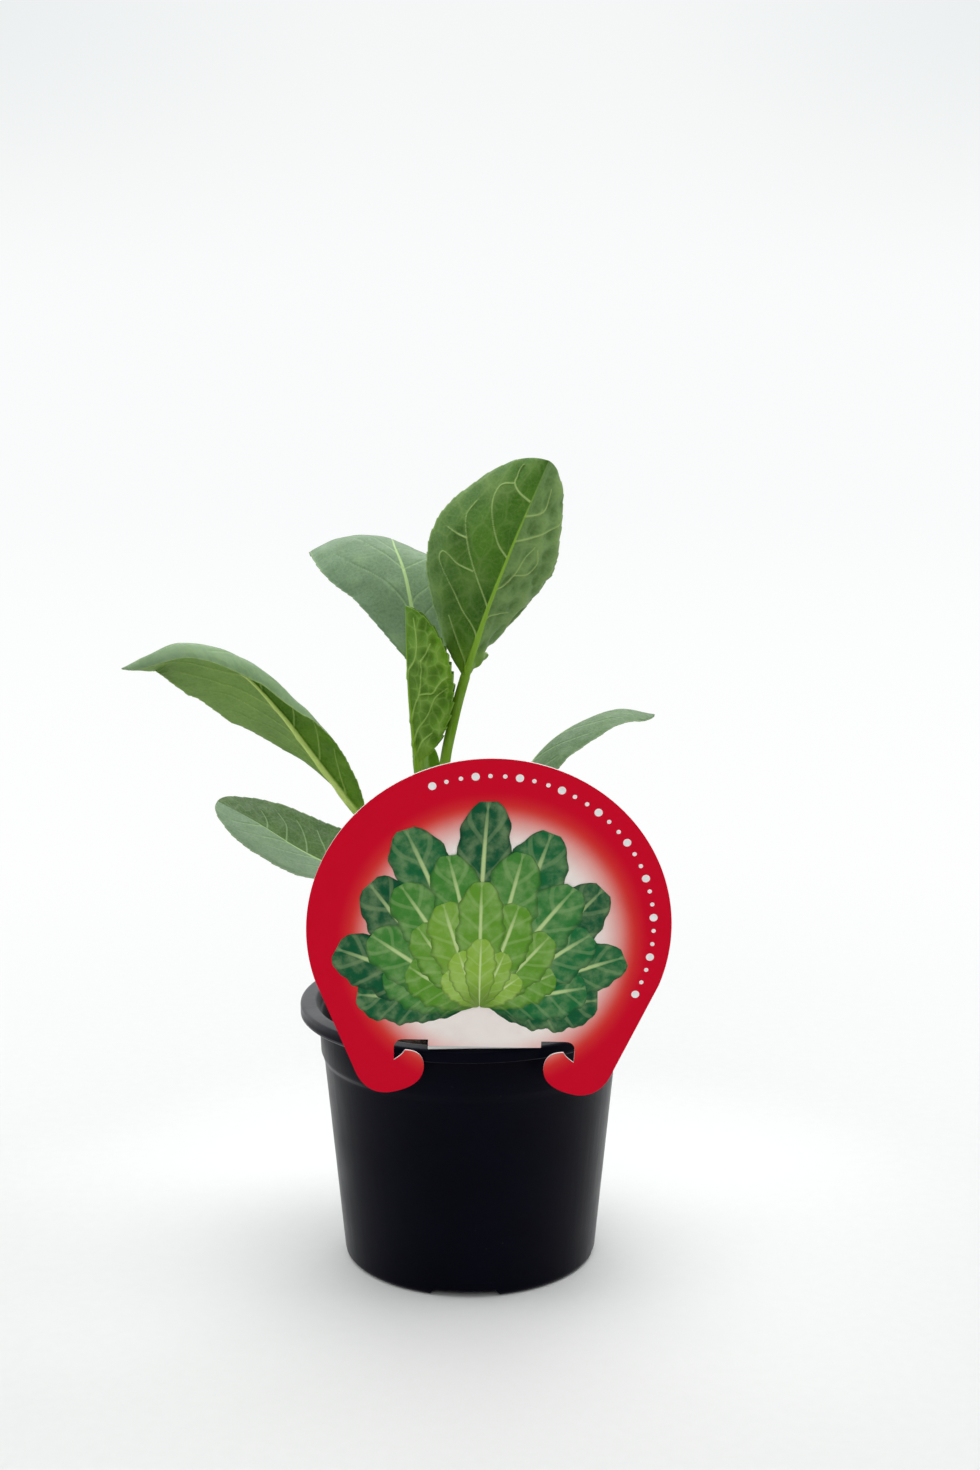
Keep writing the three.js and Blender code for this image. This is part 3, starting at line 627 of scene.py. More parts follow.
    # The two sides are joined at the rib, from the left margin to the right one
    left, right_side = fields
    joined = [np.concatenate([a[:, ::-1], b[:, 1:]], axis=1) for a, b in zip(left, right_side)]
    middle, normal, above, beneath, vein, net, crown, rib_mask, bloom_and_sheen, edge, across = joined
    centre = columns - 1
    mean = left[1][:, 0] + right_side[1][:, 0]
    normal[:, centre] = mean / np.linalg.norm(mean, axis=1)[:, None]
    upper = middle + above[..., None] * normal
    under = middle - beneath[..., None] * normal
    ring = np.concatenate([upper, under[:, ::-1]], axis=1)
    rows, round_count = ring.shape[:2]
    wide = round_count // 2
    index = np.arange(rows * round_count).reshape(rows, round_count)
    following = np.roll(index, -1, axis=1)
    quads = np.stack([index[:-1], following[:-1], following[1:], index[1:]], -1).reshape(-1, 4)
    faces = quads.tolist()
    for row, flip in ((0, True), (rows - 1, False)):
        for c in range(wide - 1):
            cap = [index[row, c], index[row, c + 1], index[row, round_count - 2 - c], index[row, round_count - 1 - c]]
            faces.append([int(v) for v in (cap[::-1] if flip else cap)])
    piece = mesh_piece(name + "_blade", ring.reshape(-1, 3), faces)

    def both(values):
        return np.concatenate([values, values[:, ::-1]], axis=1)

    give(piece, "vein", both(vein))
    give(piece, "net", both(net))
    # A blister is a swelling on the upper side and a pocket underneath; the material paints highlight on the
    # swellings and shade in the pockets
    give(piece, "crown", np.concatenate([crown, -crown[:, ::-1]], axis=1))
    give(piece, "rib", both(rib_mask))
    give(piece, "bloom_and_sheen", np.concatenate([leaf.get("bloom_upper", 1) * bloom_and_sheen, bloom_and_sheen[:, ::-1]], axis=1))
    give(piece, "margin", both(edge))
    stalk_share = np.clip(1 - (t - leaf["blade_from"]) / 0.35, 0, 1)[:, None] + 0 * edge
    give(piece, "stalk", both(stalk_share))
    give(piece, "under", np.concatenate([0 * edge, 1 + 0 * edge], axis=1))
    give(piece, "height", both(length[:, None] + 0 * edge))
    # The leaf's own map, in centimetres: across the rib and along it
    flat_map = np.stack([both(across), both(length[:, None] + 0 * edge)], -1).reshape(-1, 2) / 10
    corners = np.empty(len(piece.data.loops), int)
    piece.data.loops.foreach_get("vertex_index", corners)
    layer = piece.data.uv_layers.new(name="leaf")
    layer.data.foreach_set("uv", flat_map[corners].ravel())
    piece.data.materials.append(material)
    smooth(piece)
    return piece


def leaf_material(name, upper, upper_deep, under, under_deep, bloom_and_sheen, vein, midrib, stalk, vein_share,
                  net_share, pocket_shade):
    """A leaf: a waxy grey coat in places that is partly painted sheen, greener underneath, pale veins, painted
    highlight and shade on the blisters, and light through the blade.
    """
    material, tree = new_material(name)
    flat = node(tree, "UVMap", uv_map="leaf").outputs["UV"]
    space = object_place(tree)
    broad = ranged(tree, noise_of(tree, space, 55.0, 4.0), 0.32, 0.68)
    fine = noise_of(tree, flat, 11.0, 3.0, 0.5)
    mesh_wide = cell_edges(tree, flat, 3.0)
    mesh_fine = cell_edges(tree, flat, 8.0)
    top = blend(tree, broad, upper_deep, upper)
    low = blend(tree, broad, under_deep, under)
    ground = blend(tree, attribute(tree, "under"), top, low)
    # The waxy grey is partly the leaf's real wax and partly painted sheen
    wax_and_sheen = maths(tree, "MULTIPLY", attribute(tree, "bloom_and_sheen"), ranged(tree, fine, 0.2, 0.6, 0.75, 1.0))
    ground = blend(tree, wax_and_sheen, ground, bloom_and_sheen)
    # Blisters between the veins: painted highlight on their crowns, painted shade in the valleys and pockets
    crown = attribute(tree, "crown")
    ground = blend(tree, ranged(tree, crown, 0.0, 0.55, 0.0, 0.34), ground, vein)
    ground = blend(tree, ranged(tree, crown, -0.38, -0.04, pocket_shade, 0.0), ground, VALLEY_SHADE, "MULTIPLY")
    mottle = ranged(tree, fine, 0.35, 0.75, 0.0, 0.1)
    ground = blend(tree, mottle, ground, vein)
    # Small veins: a wide mesh and a fine one, paler than the blade
    lines = ranged(tree, mesh_wide, 0.0, 0.05, 0.1, 0.0)
    hair = ranged(tree, mesh_fine, 0.0, 0.08, 0.06, 0.0)
    net = maths(tree, "MULTIPLY", attribute(tree, "net"), net_share)
    small = maths(tree, "MAXIMUM", maths(tree, "MAXIMUM", lines, hair), net)
    blade = blend(tree, small, ground, vein)
    side_veins = ranged(tree, attribute(tree, "vein"), 0.28, 0.76, 0.0, vein_share)
    blade = blend(tree, side_veins, blade, vein)
    middle = blend(tree, ranged(tree, attribute(tree, "rib"), 0.3, 0.95), blade, midrib)
    streak = node(tree, "Mapping", {"Vector": flat, "Scale": (30.0, 1.2, 1.0)}).outputs["Vector"]
    grain = noise_of(tree, streak, 1.0, 3.0)
    stalk_tone = blend(tree, ranged(tree, grain, 0.35, 0.7), stalk, blend(tree, 0.25, stalk, vein))
    colour = blend(tree, attribute(tree, "stalk"), middle, stalk_tone)
    thin_edge = ranged(tree, attribute(tree, "margin"), 0.965, 1.0, 0.0, 0.5)
    colour = blend(tree, thin_edge, colour, vein)
    relief = maths(tree, "ADD", maths(tree, "MULTIPLY", lines, 2.4), maths(tree, "MULTIPLY", hair, 2.0))
    relief = maths(tree, "ADD", relief, maths(tree, "MULTIPLY", fine, 0.3))
    bump = node(tree, "Bump", {"Height": relief, "Strength": 0.25, "Distance": 0.0003}).outputs["Normal"]
    rough = ranged(tree, noise_of(tree, flat, 3.0, 3.0), 0.3, 0.7, 0.4, 0.54)
    shader = node(tree, "BsdfPrincipled", {
        "Base Color": colour, "Roughness": rough, "Normal": bump, "Specular IOR Level": 0.18,
    }).outputs[0]
    through = blend(tree, 0.5, colour, rgb(120, 170, 20))
    glow = node(tree, "BsdfTranslucent", {"Color": through, "Normal": bump}).outputs[0]
    surface = node(tree, "MixShader", {0: 0.2, 1: shader, 2: glow}).outputs[0]
    put_out(tree, surface)
    return material


# Painted shade: the colour that darkens the blisters' valleys and pockets
VALLEY_SHADE = (0.5, 0.6, 0.38, 1.0)
GREEN_LEAF = {
    "upper": rgb(112, 144, 98), "upper_deep": rgb(84, 120, 64), "under": rgb(72, 120, 20),
    "under_deep": rgb(46, 94, 6), "bloom_and_sheen": rgb(130, 162, 104), "vein": rgb(166, 194, 116),
    "midrib": rgb(142, 186, 58), "stalk": rgb(116, 162, 24), "vein_share": 0.85, "net_share": 0.14,
    "pocket_shade": 0.6,
}
ARCHING_LEAF = {
    "upper": rgb(132, 160, 124), "upper_deep": rgb(106, 138, 98), "under": rgb(96, 142, 20),
    "under_deep": rgb(66, 112, 4), "bloom_and_sheen": rgb(156, 184, 118), "vein": rgb(168, 198, 104),
    "midrib": rgb(200, 224, 124), "stalk": rgb(128, 172, 30), "vein_share": 0.5, "net_share": 0.1,
    "pocket_shade": 0.3,
}
GREY_LEAF = {
    "upper": rgb(70, 104, 38), "upper_deep": rgb(48, 84, 16), "under": rgb(96, 130, 64),
    "under_deep": rgb(64, 100, 34), "bloom_and_sheen": rgb(132, 160, 132), "vein": rgb(172, 202, 146),
    "midrib": rgb(170, 200, 134), "stalk": rgb(122, 164, 52), "vein_share": 0.38, "net_share": 0.1,
    "pocket_shade": 0.4,
}
YOUNG_LEAF = {
    "upper": rgb(90, 134, 30), "upper_deep": rgb(64, 110, 8), "under": rgb(104, 156, 4),
    "under_deep": rgb(78, 130, 0), "bloom_and_sheen": rgb(108, 144, 72), "vein": rgb(160, 198, 96),
    "midrib": rgb(132, 176, 44), "stalk": rgb(116, 160, 26), "vein_share": 0.95, "net_share": 0.4,
    "pocket_shade": 0.22,
}
LEAF_FINISH = {
    "tall_leaf": "green_leaf", "arching_leaf": "arching_leaf", "young_leaf": "young_leaf",
    "heart_leaf_front": "young_leaf", "heart_leaf_back": "young_leaf", "back_leaf": "grey_leaf",
    "low_leaf": "grey_leaf", "right_leaf": "grey_leaf",
}


def make_leaves():
    finishes = {
        "green_leaf": leaf_material("green_leaf", **GREEN_LEAF),
        "arching_leaf": leaf_material("arching_leaf", **ARCHING_LEAF),
        "grey_leaf": leaf_material("grey_leaf", **GREY_LEAF),
        "young_leaf": leaf_material("young_leaf", **YOUNG_LEAF),
    }
    for name, leaf in LEAVES.items():
        finish = LEAF_FINISH[name]
        piece = make_leaf(name, leaf, finishes[finish])
        finish_piece(piece, "grey_leaf" if finish == "grey_leaf" else "green_leaf", name)


# The stem, from inside the compost up to the growing tip
STEM_PATH = [(-1.5, 0, 60), (-2.6, 0, 70), (-5, 0, 84), (-7.2, 0, 98), (-8.2, 0, 110)]
STEM_RADII = (2.8, 3.3)
STEM_ROWS = 90
STEM_SIDES = 40
SCARS = [(79, 200), (88, 20), (94, 130), (75, 310)]


def make_stem():
    k = np.linspace(0, 1, STEM_ROWS)
    path = along(STEM_PATH, k * (len(STEM_PATH) - 1))
    turn = np.linspace(0, 2 * np.pi, STEM_SIDES, endpoint=False)
    radius = STEM_RADII[0] + (STEM_RADII[1] - STEM_RADII[0]) * k
    radius = radius * np.sqrt(np.clip(1 - np.clip((k - 0.93) / 0.075, 0, 1) ** 2, 0.02, 1))
    ridges = 0.06 * np.sin(9 * turn)[None] + 0.04 * np.sin(14 * turn + 1)[None]
    body = radius[:, None] * (1 + 0.05 * np.sin(2 * turn + 0.4)[None]) + ridges
    # Scars where the first leaves have fallen: a low swelling with a crescent under it
    for height, bearing in SCARS:
        off = np.angle(np.exp(1j * (turn - bearing * RAD)))
        near = np.exp(-((off / 0.55) ** 2))[None] * np.exp(-(((path[:, 2] - height) / 1.5) ** 2))[:, None]
        dent = np.exp(-((off / 0.3) ** 2))[None] * np.exp(-(((path[:, 2] - height - 0.4) / 0.55) ** 2))[:, None]
        body = body + 0.55 * near - 0.4 * dent
    points = np.stack([
        path[:, 0:1] + body * np.cos(turn), path[:, 1:2] + body * np.sin(turn), path[:, 2:3] + 0 * body,
    ], -1)
    index = np.arange(STEM_ROWS * STEM_SIDES).reshape(STEM_ROWS, STEM_SIDES)
    following = np.roll(index, -1, axis=1)
    faces = np.stack([index[:-1], following[:-1], following[1:], index[1:]], -1).reshape(-1, 4).tolist()
    faces.append(index[0][::-1].tolist())
    faces.append(index[-1].tolist())
    piece = mesh_piece("stem_rod", points.reshape(-1, 3), faces)
    give(piece, "height", (path[:, 2:3] + 0 * body))
    piece.data.materials.append(stem_material())
    smooth(piece)
    finish_piece(piece, "stem", "stem")


def stem_material():
    material, tree = new_material("stem")
    space = object_place(tree)
    height = attribute(tree, "height")
    long_grain = node(tree, "Mapping", {"Vector": space, "Scale": (900.0, 900.0, 90.0)}).outputs["Vector"]
    grain = noise_of(tree, long_grain, 1.0, 4.0)
    green = blend(tree, ranged(tree, grain, 0.3, 0.7), rgb(104, 138, 58), rgb(138, 166, 96))
    woody = blend(tree, ranged(tree, grain, 0.3, 0.7), rgb(104, 88, 62), rgb(146, 128, 92))
    colour = blend(tree, ranged(tree, height, 72.0, 88.0), woody, green)
    bump = node(tree, "Bump", {"Height": grain, "Strength": 0.5, "Distance": 0.0003}).outputs["Normal"]
    shader = node(tree, "BsdfPrincipled", {"Base Color": colour, "Roughness": 0.55, "Normal": bump})
    put_out(tree, shader.outputs[0])
    return material


# Pot: a 10.5 cm nursery pot
POT_HEIGHT = 82
RIM_RADIUS = 52.5
SKIRT_DROP = 3.8
WALL = 0.9
COLLAR_RADIUS = 46.8
SHOULDER_TOP = 66
SHOULDER_BOTTOM = 63.6
BODY_TOP_RADIUS = 45.3
BASE_RADIUS = 39.5
BASE_CORNER = 2
FLOOR = 1.2
POT_STEPS = 160
NOTCH_COUNT = 4
NOTCH_WIDTH = 22
NOTCH_HEIGHT = 2.2
NOTCH_FLARE = 1.6
NOTCH_START = 21
NOTCH_TURN = -2
DRAIN_RADIUS = 3.4
DRAIN_PLACE = 28


def body_radius(z):
    share = (z - BASE_CORNER) / (SHOULDER_BOTTOM - BASE_CORNER)
    return BASE_RADIUS + (BODY_TOP_RADIUS - BASE_RADIUS) * share


def pot_outline():
    skirt = POT_HEIGHT - SKIRT_DROP
    edge = 0.3
    return [
        (0.02, 0),
        (20, 0),
        *arc(BASE_CORNER, (BASE_RADIUS - BASE_CORNER, BASE_CORNER), -90, 0, 8),
        (body_radius(20), 20),
        (body_radius(42), 42),
        (BODY_TOP_RADIUS - 0.03, SHOULDER_BOTTOM - 0.5),
        (BODY_TOP_RADIUS + 0.25, SHOULDER_BOTTOM + 0.4),
        (COLLAR_RADIUS - 0.8, SHOULDER_TOP - 0.5),
        (COLLAR_RADIUS - 0.5, SHOULDER_TOP + 0.3),
        (COLLAR_RADIUS - 0.25, 72),
        (COLLAR_RADIUS, skirt + 1),
        *arc(1.2, (COLLAR_RADIUS + 1.2, POT_HEIGHT - 2.4), 180, 90, 5),
        (RIM_RADIUS - 1.6, POT_HEIGHT - 1.2),
        (RIM_RADIUS - WALL - 0.1, POT_HEIGHT - 1.8),
        (RIM_RADIUS - WALL, skirt + edge),
        (RIM_RADIUS - WALL + edge, skirt),
        (RIM_RADIUS - edge, skirt),
        (RIM_RADIUS, skirt + edge),
        *arc(0.9, (RIM_RADIUS - 0.9, POT_HEIGHT - 0.9), 0, 90, 6),
        (50.2, POT_HEIGHT + 0.0),
        (48.9, POT_HEIGHT - 0.02),
        *arc(0.7, (48.2, POT_HEIGHT - 0.7), 90, 180, 5),
        (COLLAR_RADIUS - WALL + 0.6, POT_HEIGHT - 1.9),
        (COLLAR_RADIUS - WALL, POT_HEIGHT - 4),
        (COLLAR_RADIUS - 0.5 - WALL, SHOULDER_TOP),
        (BODY_TOP_RADIUS - WALL, SHOULDER_BOTTOM),
        (body_radius(FLOOR + 1.2) - WALL, FLOOR + 1.2),
        (body_radius(FLOOR + 1.2) - WALL - 1.2, FLOOR),
        (20, FLOOR),
        (0.02, FLOOR),
    ]


def box_piece(x0, x1, y0, y1, z0, z1, turn, flare=0.0):
    """A box turned about the pot's axis. With a flare its foot is wider than its top."""
    deselect()
    middle = ((x0 + x1) / 2, (y0 + y1) / 2, (z0 + z1) / 2)
    bpy.ops.mesh.primitive_cube_add(size=1, location=(0, 0, 0))
    piece = bpy.context.object
    corners = vertices_of(piece) * MM
    points = corners * np.array([x1 - x0, y1 - y0, z1 - z0]) + np.array(middle)
    points[:, 1] -= flare * 2 * corners[:, 1] * np.sign(corners[:, 2])
    return turned_copy(piece, points, turn)


def turned_copy(piece, points, turn):
    cos, sin = math.cos(turn), math.sin(turn)
    moved = points.copy()
    moved[:, 0] = points[:, 0] * cos - points[:, 1] * sin
    moved[:, 1] = points[:, 0] * sin + points[:, 1] * cos
    place_vertices(piece, moved)
    return piece


def foot_rod(radius, bottom, top, sides=POT_STEPS):
    """An upright rod on the pot's axis, for cutting."""
    deselect()
    depth = (top - bottom) * MM
    middle = (top + bottom) / 2 * MM
    bpy.ops.mesh.primitive_cylinder_add(vertices=sides, radius=radius * MM, depth=depth)
    rod = bpy.context.object
    place_vertices(rod, vertices_of(rod) + np.array([0, 0, middle / MM]))
    return rod


def make_pot():
    piece = turned("pot_shell", pot_outline(), POT_STEPS)
    half = NOTCH_WIDTH / 2
    for i in range(NOTCH_COUNT):
        turn = (-90 + NOTCH_TURN + 360 / NOTCH_COUNT * i) * RAD
        reach = BASE_RADIUS - 1.0
        pad = box_piece(NOTCH_START - WALL, reach, -half - WALL, half + WALL, 0.6, NOTCH_HEIGHT + FLOOR, turn)
        apply_boolean(pad, foot_rod(BASE_RADIUS - WALL / 2, 0, 2 * NOTCH_HEIGHT + FLOOR), "INTERSECT")
        apply_boolean(piece, pad, "UNION")
        foot = -NOTCH_HEIGHT
        channel = box_piece(NOTCH_START, BASE_RADIUS + 4, -half, half, foot, NOTCH_HEIGHT, turn, NOTCH_FLARE)
        apply_boolean(piece, channel, "DIFFERENCE")
        deselect()
        bpy.ops.mesh.primitive_cylinder_add(vertices=40, radius=DRAIN_RADIUS * MM, depth=8 * MM)
        hole = bpy.context.object
        turned_copy(hole, vertices_of(hole) + np.array([DRAIN_PLACE, 0, 3]), turn)
        apply_boolean(piece, hole, "DIFFERENCE")
    piece.data.materials.append(pot_material())
    smooth(piece, 32)
    finish_piece(piece, "pot", "pot")


def pot_material():
    """Black moulded plastic: satin, with dust and faint upright drag marks from the mould, a rim lightened grey that
    is partly wear and partly painted highlight, and thin painted highlight lines at the shoulder and the rim's lower
    edge.
    """
    material, tree = new_material("pot_plastic")
    space = object_place(tree)
    drag = node(tree, "Mapping", {"Vector": space, "Scale": (420.0, 420.0, 26.0)}).outputs["Vector"]
    streaks = noise_of(tree, drag, 1.0, 4.0)
    cloud = noise_of(tree, space, 60.0, 5.0, 0.6)
    grain = noise_of(tree, space, 1600.0, 2.0)
    specks = node(tree, "TexVoronoi", {"Vector": space, "Scale": 260.0}).outputs["Distance"]
    dust = maths(tree, "MULTIPLY", ranged(tree, specks, 0.03, 0.09, 1.0, 0.0), ranged(tree, cloud, 0.5, 0.75))
    base = blend(tree, ranged(tree, cloud, 0.3, 0.75), rgb(0, 0, 12), rgb(3, 3, 18))
    colour = blend(tree, maths(tree, "MULTIPLY", dust, 0.22), base, rgb(96, 96, 100))
    # The rim's top is lightened a little grey, less at the front: partly wear, partly painted highlight
    axes = node(tree, "SeparateXYZ", {0: space}).outputs
    height = axes[2]
    rub_and_highlight = maths(tree, "MULTIPLY", ranged(tree, height, 0.0795, 0.0818), ranged(tree, axes[1], -0.042, -0.014))
    beside = ranged(tree, maths(tree, "ABSOLUTE", axes[0]), 0.026, 0.042)
    # Painted highlight: thin light lines at the sides along the shoulder and the rim's lower edge, standing in for
    # the floor's reflection
    for edge in (0.0647, 0.0785):
        away = maths(tree, "ABSOLUTE", maths(tree, "SUBTRACT", height, edge))
        edge_highlight = maths(tree, "MULTIPLY", ranged(tree, away, 0.0003, 0.0008, 0.8, 0.0), beside)
        rub_and_highlight = maths(tree, "MAXIMUM", rub_and_highlight, edge_highlight)
    rub_and_highlight = maths(tree, "MULTIPLY", rub_and_highlight, ranged(tree, cloud, 0.3, 0.6, 0.6, 1.0))
    colour = blend(tree, rub_and_highlight, colour, rgb(84, 84, 88))
    rough = ranged(tree, maths(tree, "ADD", cloud, maths(tree, "MULTIPLY", streaks, 0.5)), 0.4, 1.1, 0.3, 0.46)
    relief = maths(tree, "ADD", maths(tree, "MULTIPLY", streaks, 0.6), maths(tree, "MULTIPLY", grain, 0.25))
    bump = node(tree, "Bump", {"Height": relief, "Strength": 0.16, "Distance": 0.0004}).outputs["Normal"]
    shader = node(tree, "BsdfPrincipled", {
        "Base Color": colour, "Roughness": rough, "Normal": bump, "Specular IOR Level": 0.045,
        "Sheen Weight": 0.22, "Sheen Roughness": 0.3,
    })
    put_out(tree, shader.outputs[0])
    return material


# Compost
COMPOST_TOP = 71
COMPOST_BASE = 3.8
COMPOST_STEPS = 200
COMPOST_RINGS = 62
CRUMB_COUNT = 620
FIBRE_COUNT = 70
PERLITE_COUNT = 9


def compost_height(x, y):
    """The crumbly top of the compost at x, y, in millimetres."""
    lump = 1.3 * noise.fractal(Vector((x * 0.06, y * 0.06, 0.3)), 1.0, 2.0, 3)
    crumb = 0.9 * noise.fractal(Vector((x * 0.33, y * 0.33, 4.1)), 0.9, 2.0, 4)
    return COMPOST_TOP + lump + crumb


def make_compost():
    inner = BODY_TOP_RADIUS - WALL - 0.3
    outline = [(0.02, COMPOST_BASE), (body_radius(COMPOST_BASE) - WALL - 0.9, COMPOST_BASE)]
    outline.append((inner, SHOULDER_BOTTOM))
    outline.append((COLLAR_RADIUS - 0.5 - WALL - 0.35, SHOULDER_TOP))
    edge = COLLAR_RADIUS - WALL - 0.45
    outline += [(edge - (edge - 0.02) * i / COMPOST_RINGS, COMPOST_TOP) for i in range(COMPOST_RINGS + 1)]
    piece = turned("compost_bed", outline, COMPOST_STEPS)
    points = vertices_of(piece)
    for i in np.nonzero(points[:, 2] > COMPOST_TOP - 0.01)[0]:
        points[i, 2] = compost_height(points[i, 0], points[i, 1])
    place_vertices(piece, points)
    piece.data.materials.append(compost_material("compost", rgb(16, 11, 8), rgb(48, 33, 23)))
    smooth(piece)
    finish_piece(piece, "compost", "compost")
    make_crumbs()


def compost_material(name, dark, light):
    material, tree = new_material(name)
    space = object_place(tree)
    lumps = noise_of(tree, space, 300.0, 5.0, 0.65)
    fine = noise_of(tree, space, 1500.0, 4.0, 0.7)
    tone = blend(tree, ranged(tree, lumps, 0.32, 0.7), dark, light)
    tone = blend(tree, ranged(tree, fine, 0.55, 0.8, 0.0, 0.5), tone, blend(tree, 0.5, light, rgb(120, 92, 62)))
    height = maths(tree, "ADD", lumps, maths(tree, "MULTIPLY", fine, 0.5))
    bump = node(tree, "Bump", {"Height": height, "Strength": 0.8, "Distance": 0.001}).outputs["Normal"]
    shader = node(tree, "BsdfPrincipled", {
        "Base Color": tone, "Roughness": 0.92, "Normal": bump, "Specular IOR Level": 0.25,
    })
    put_out(tree, shader.outputs[0])
    return material


def scatter(name, shape, faces, count, size, stretch, seed, material):
    """Copies of one small shape, lying on the compost, each turned, sized and roughened on its own."""
    rng = np.random.default_rng(seed)
    all_points, all_faces = [], []
    while len(all_points) < count:
        x, y = rng.uniform(-45, 45, 2)
        away = math.hypot(x, y)
        if away > COLLAR_RADIUS - WALL - 2.5 or math.hypot(x + 2.6, y) < 4.5:
            continue
        scale = size[0] + (size[1] - size[0]) * rng.random() ** 2.2
        own = shape * (1 + rng.uniform(-0.28, 0.28, (len(shape), 1))) * scale * np.array(stretch)
        turn = rng.normal(size=(3, 3))
        turn, _ = np.linalg.qr(turn)
        if np.linalg.det(turn) < 0:
            turn[:, 0] = -turn[:, 0]
        if stretch[0] > 2:
            turn = flat_turn(rng)
        own = own @ turn.T
        own += np.array([x, y, compost_height(x, y) + 0.25 * scale])
        all_faces += (faces + len(all_points) * len(shape)).tolist()
        all_points.append(own)
    piece = mesh_piece(name, np.concatenate(all_points), all_faces)
    piece.data.materials.append(material)
    finish_piece(piece, "compost")
    return piece


def flat_turn(rng):
    """A turn that keeps a long bit nearly level."""
    bearing, tip = rng.uniform(0, 2 * math.pi), rng.uniform(-0.25, 0.25)
    cos, sin = math.cos(bearing), math.sin(bearing)
    level = np.array([[cos, -sin, 0], [sin, cos, 0], [0, 0, 1]])
    pitch = np.array([[math.cos(tip), 0, -math.sin(tip)], [0, 1, 0], [math.sin(tip), 0, math.cos(tip)]])
    return level @ pitch


def small_shape(subdivisions):
    deselect()
    bpy.ops.mesh.primitive_ico_sphere_add(subdivisions=subdivisions, radius=MM)
    ball = bpy.context.object
    points = vertices_of(ball)
    faces = np.array([list(p.vertices) for p in ball.data.polygons])
    bpy.data.objects.remove(ball)
    return points, faces


def make_crumbs():
    points, faces = small_shape(2)
    dark = compost_material("crumbs", rgb(14, 10, 7), rgb(58, 40, 27))
    straw = compost_material("fibres", rgb(84, 62, 38), rgb(150, 116, 74))
    white = compost_material("perlite", rgb(196, 192, 184), rgb(238, 236, 230))
    scatter("compost_crumbs", points, faces, CRUMB_COUNT, (0.45, 1.9), (1, 1, 0.8), 5, dark)
    scatter("compost_fibres", points, faces, FIBRE_COUNT, (0.25, 0.45), (9, 0.8, 0.6), 6, straw)
    scatter("compost_perlite", points, faces, PERLITE_COUNT, (0.5, 1.1), (1, 1, 1), 8, white)


# Label: a printed card, a disc with a hook each side of a tongue, which folds back over the pot's rim
LABEL_THICKNESS = 0.5
LABEL_DISTANCE = 51.8
LABEL_OFFSET = 2.7
LABEL_TURN = 2.2
LABEL_TILT = 1.9
LABEL_LEAN = 8.4
LABEL_FOOT = POT_HEIGHT + 0.4
DISC_RADIUS = 51.7
DISC_CENTRE = 37.4
DISC_END = -18
TONGUE_HALF = 16.3
TONGUE_FOOT = 0.9
TAB_HALF = 15
TAB_DEPTH = 11
TAB_FOOT = 8.5
SLOT_TOP = 2.9
SLOT_SIDE = 26.1
SLOT_ROUND = 3
HOOK_CURVES = [
    ((36.7, -8.4), (33.3, -15.3), (26.6, -14.2)),
    ((26.6, -14.2), (17.7, -12.3), (17.3, -6.3)),
    ((17.3, -6.3), (17.2, -0.6), (22.9, -0.6)),
    ((22.9, -0.6), (23.4, -1.9), (26, -3.8)),
]
SLOT_CORNER = ((SLOT_SIDE, SLOT_TOP - SLOT_ROUND), (SLOT_SIDE, SLOT_TOP), (SLOT_SIDE - SLOT_ROUND, SLOT_TOP))


def bent(start, control, end, count):
    k = np.linspace(0, 1, count + 1)[:, None]
    start, control, end = (np.array(p, float) for p in (start, control, end))
    return (start * (1 - k) ** 2 + 2 * control * k * (1 - k) + end * k**2).tolist()


def label_outline():
    """The card's outline from the disc's right end down the right hook, along the tongue, up the left hook."""
    right = []
    for curve in HOOK_CURVES:
        right += bent(*curve, 12)[:-1]
    right.append(HOOK_CURVES[-1][2])
    right += bent(*SLOT_CORNER, 6)
    right += [(TONGUE_HALF, SLOT_TOP), (TONGUE_HALF, TONGUE_FOOT)]
    left = [(-x, z) for x, z in reversed(right)]
    disc = arc(DISC_RADIUS, (0, DISC_CENTRE), 180 - DISC_END, DISC_END, 150)
    return right + left + disc


def turn_pair(a, b, degrees):
    cos, sin = math.cos(degrees * RAD), math.sin(degrees * RAD)
    return a * cos - b * sin, a * sin + b * cos


def label_to_pot(points):
    """From upright on the rim (across, away from the front, up) to the label's place on the pot."""
    x, y, z = points.T
    x, y = turn_pair(x, y - LABEL_DISTANCE, LABEL_TURN)
    return np.stack([x, y, z + LABEL_FOOT], -1)


def card_to_pot(points):
    """From the flat card (across, behind its face, up): tilted, leaning forward, and set on the pot."""
    x, y, z = points.T
    z, x = turn_pair(z, x + LABEL_OFFSET, LABEL_TILT)
    y, z = turn_pair(y, z, LABEL_LEAN)
    return label_to_pot(np.stack([x, y, z], -1))


def tab_line():
    """The tongue seen from the side, as (away from the front, up) through its two rounded folds."""
    fold = 0.7
    half = LABEL_THICKNESS / 2
    front = half - TONGUE_FOOT * math.tan(LABEL_LEAN * RAD)
    quarter = np.linspace(0, math.pi / 2, 7)
    line = [(front, TONGUE_FOOT + half)]
    line += [(front + fold - fold * math.cos(a), half + fold - fold * math.sin(a)) for a in quarter]
    end = TAB_DEPTH - half
    line += [(end - fold + fold * math.sin(a), half - fold + fold * math.cos(a)) for a in quarter]
    line.append((end, -TAB_FOOT / 2))
    line.append((end, 2 - TAB_FOOT))
    line.append((end, -TAB_FOOT))
    return np.array(line)


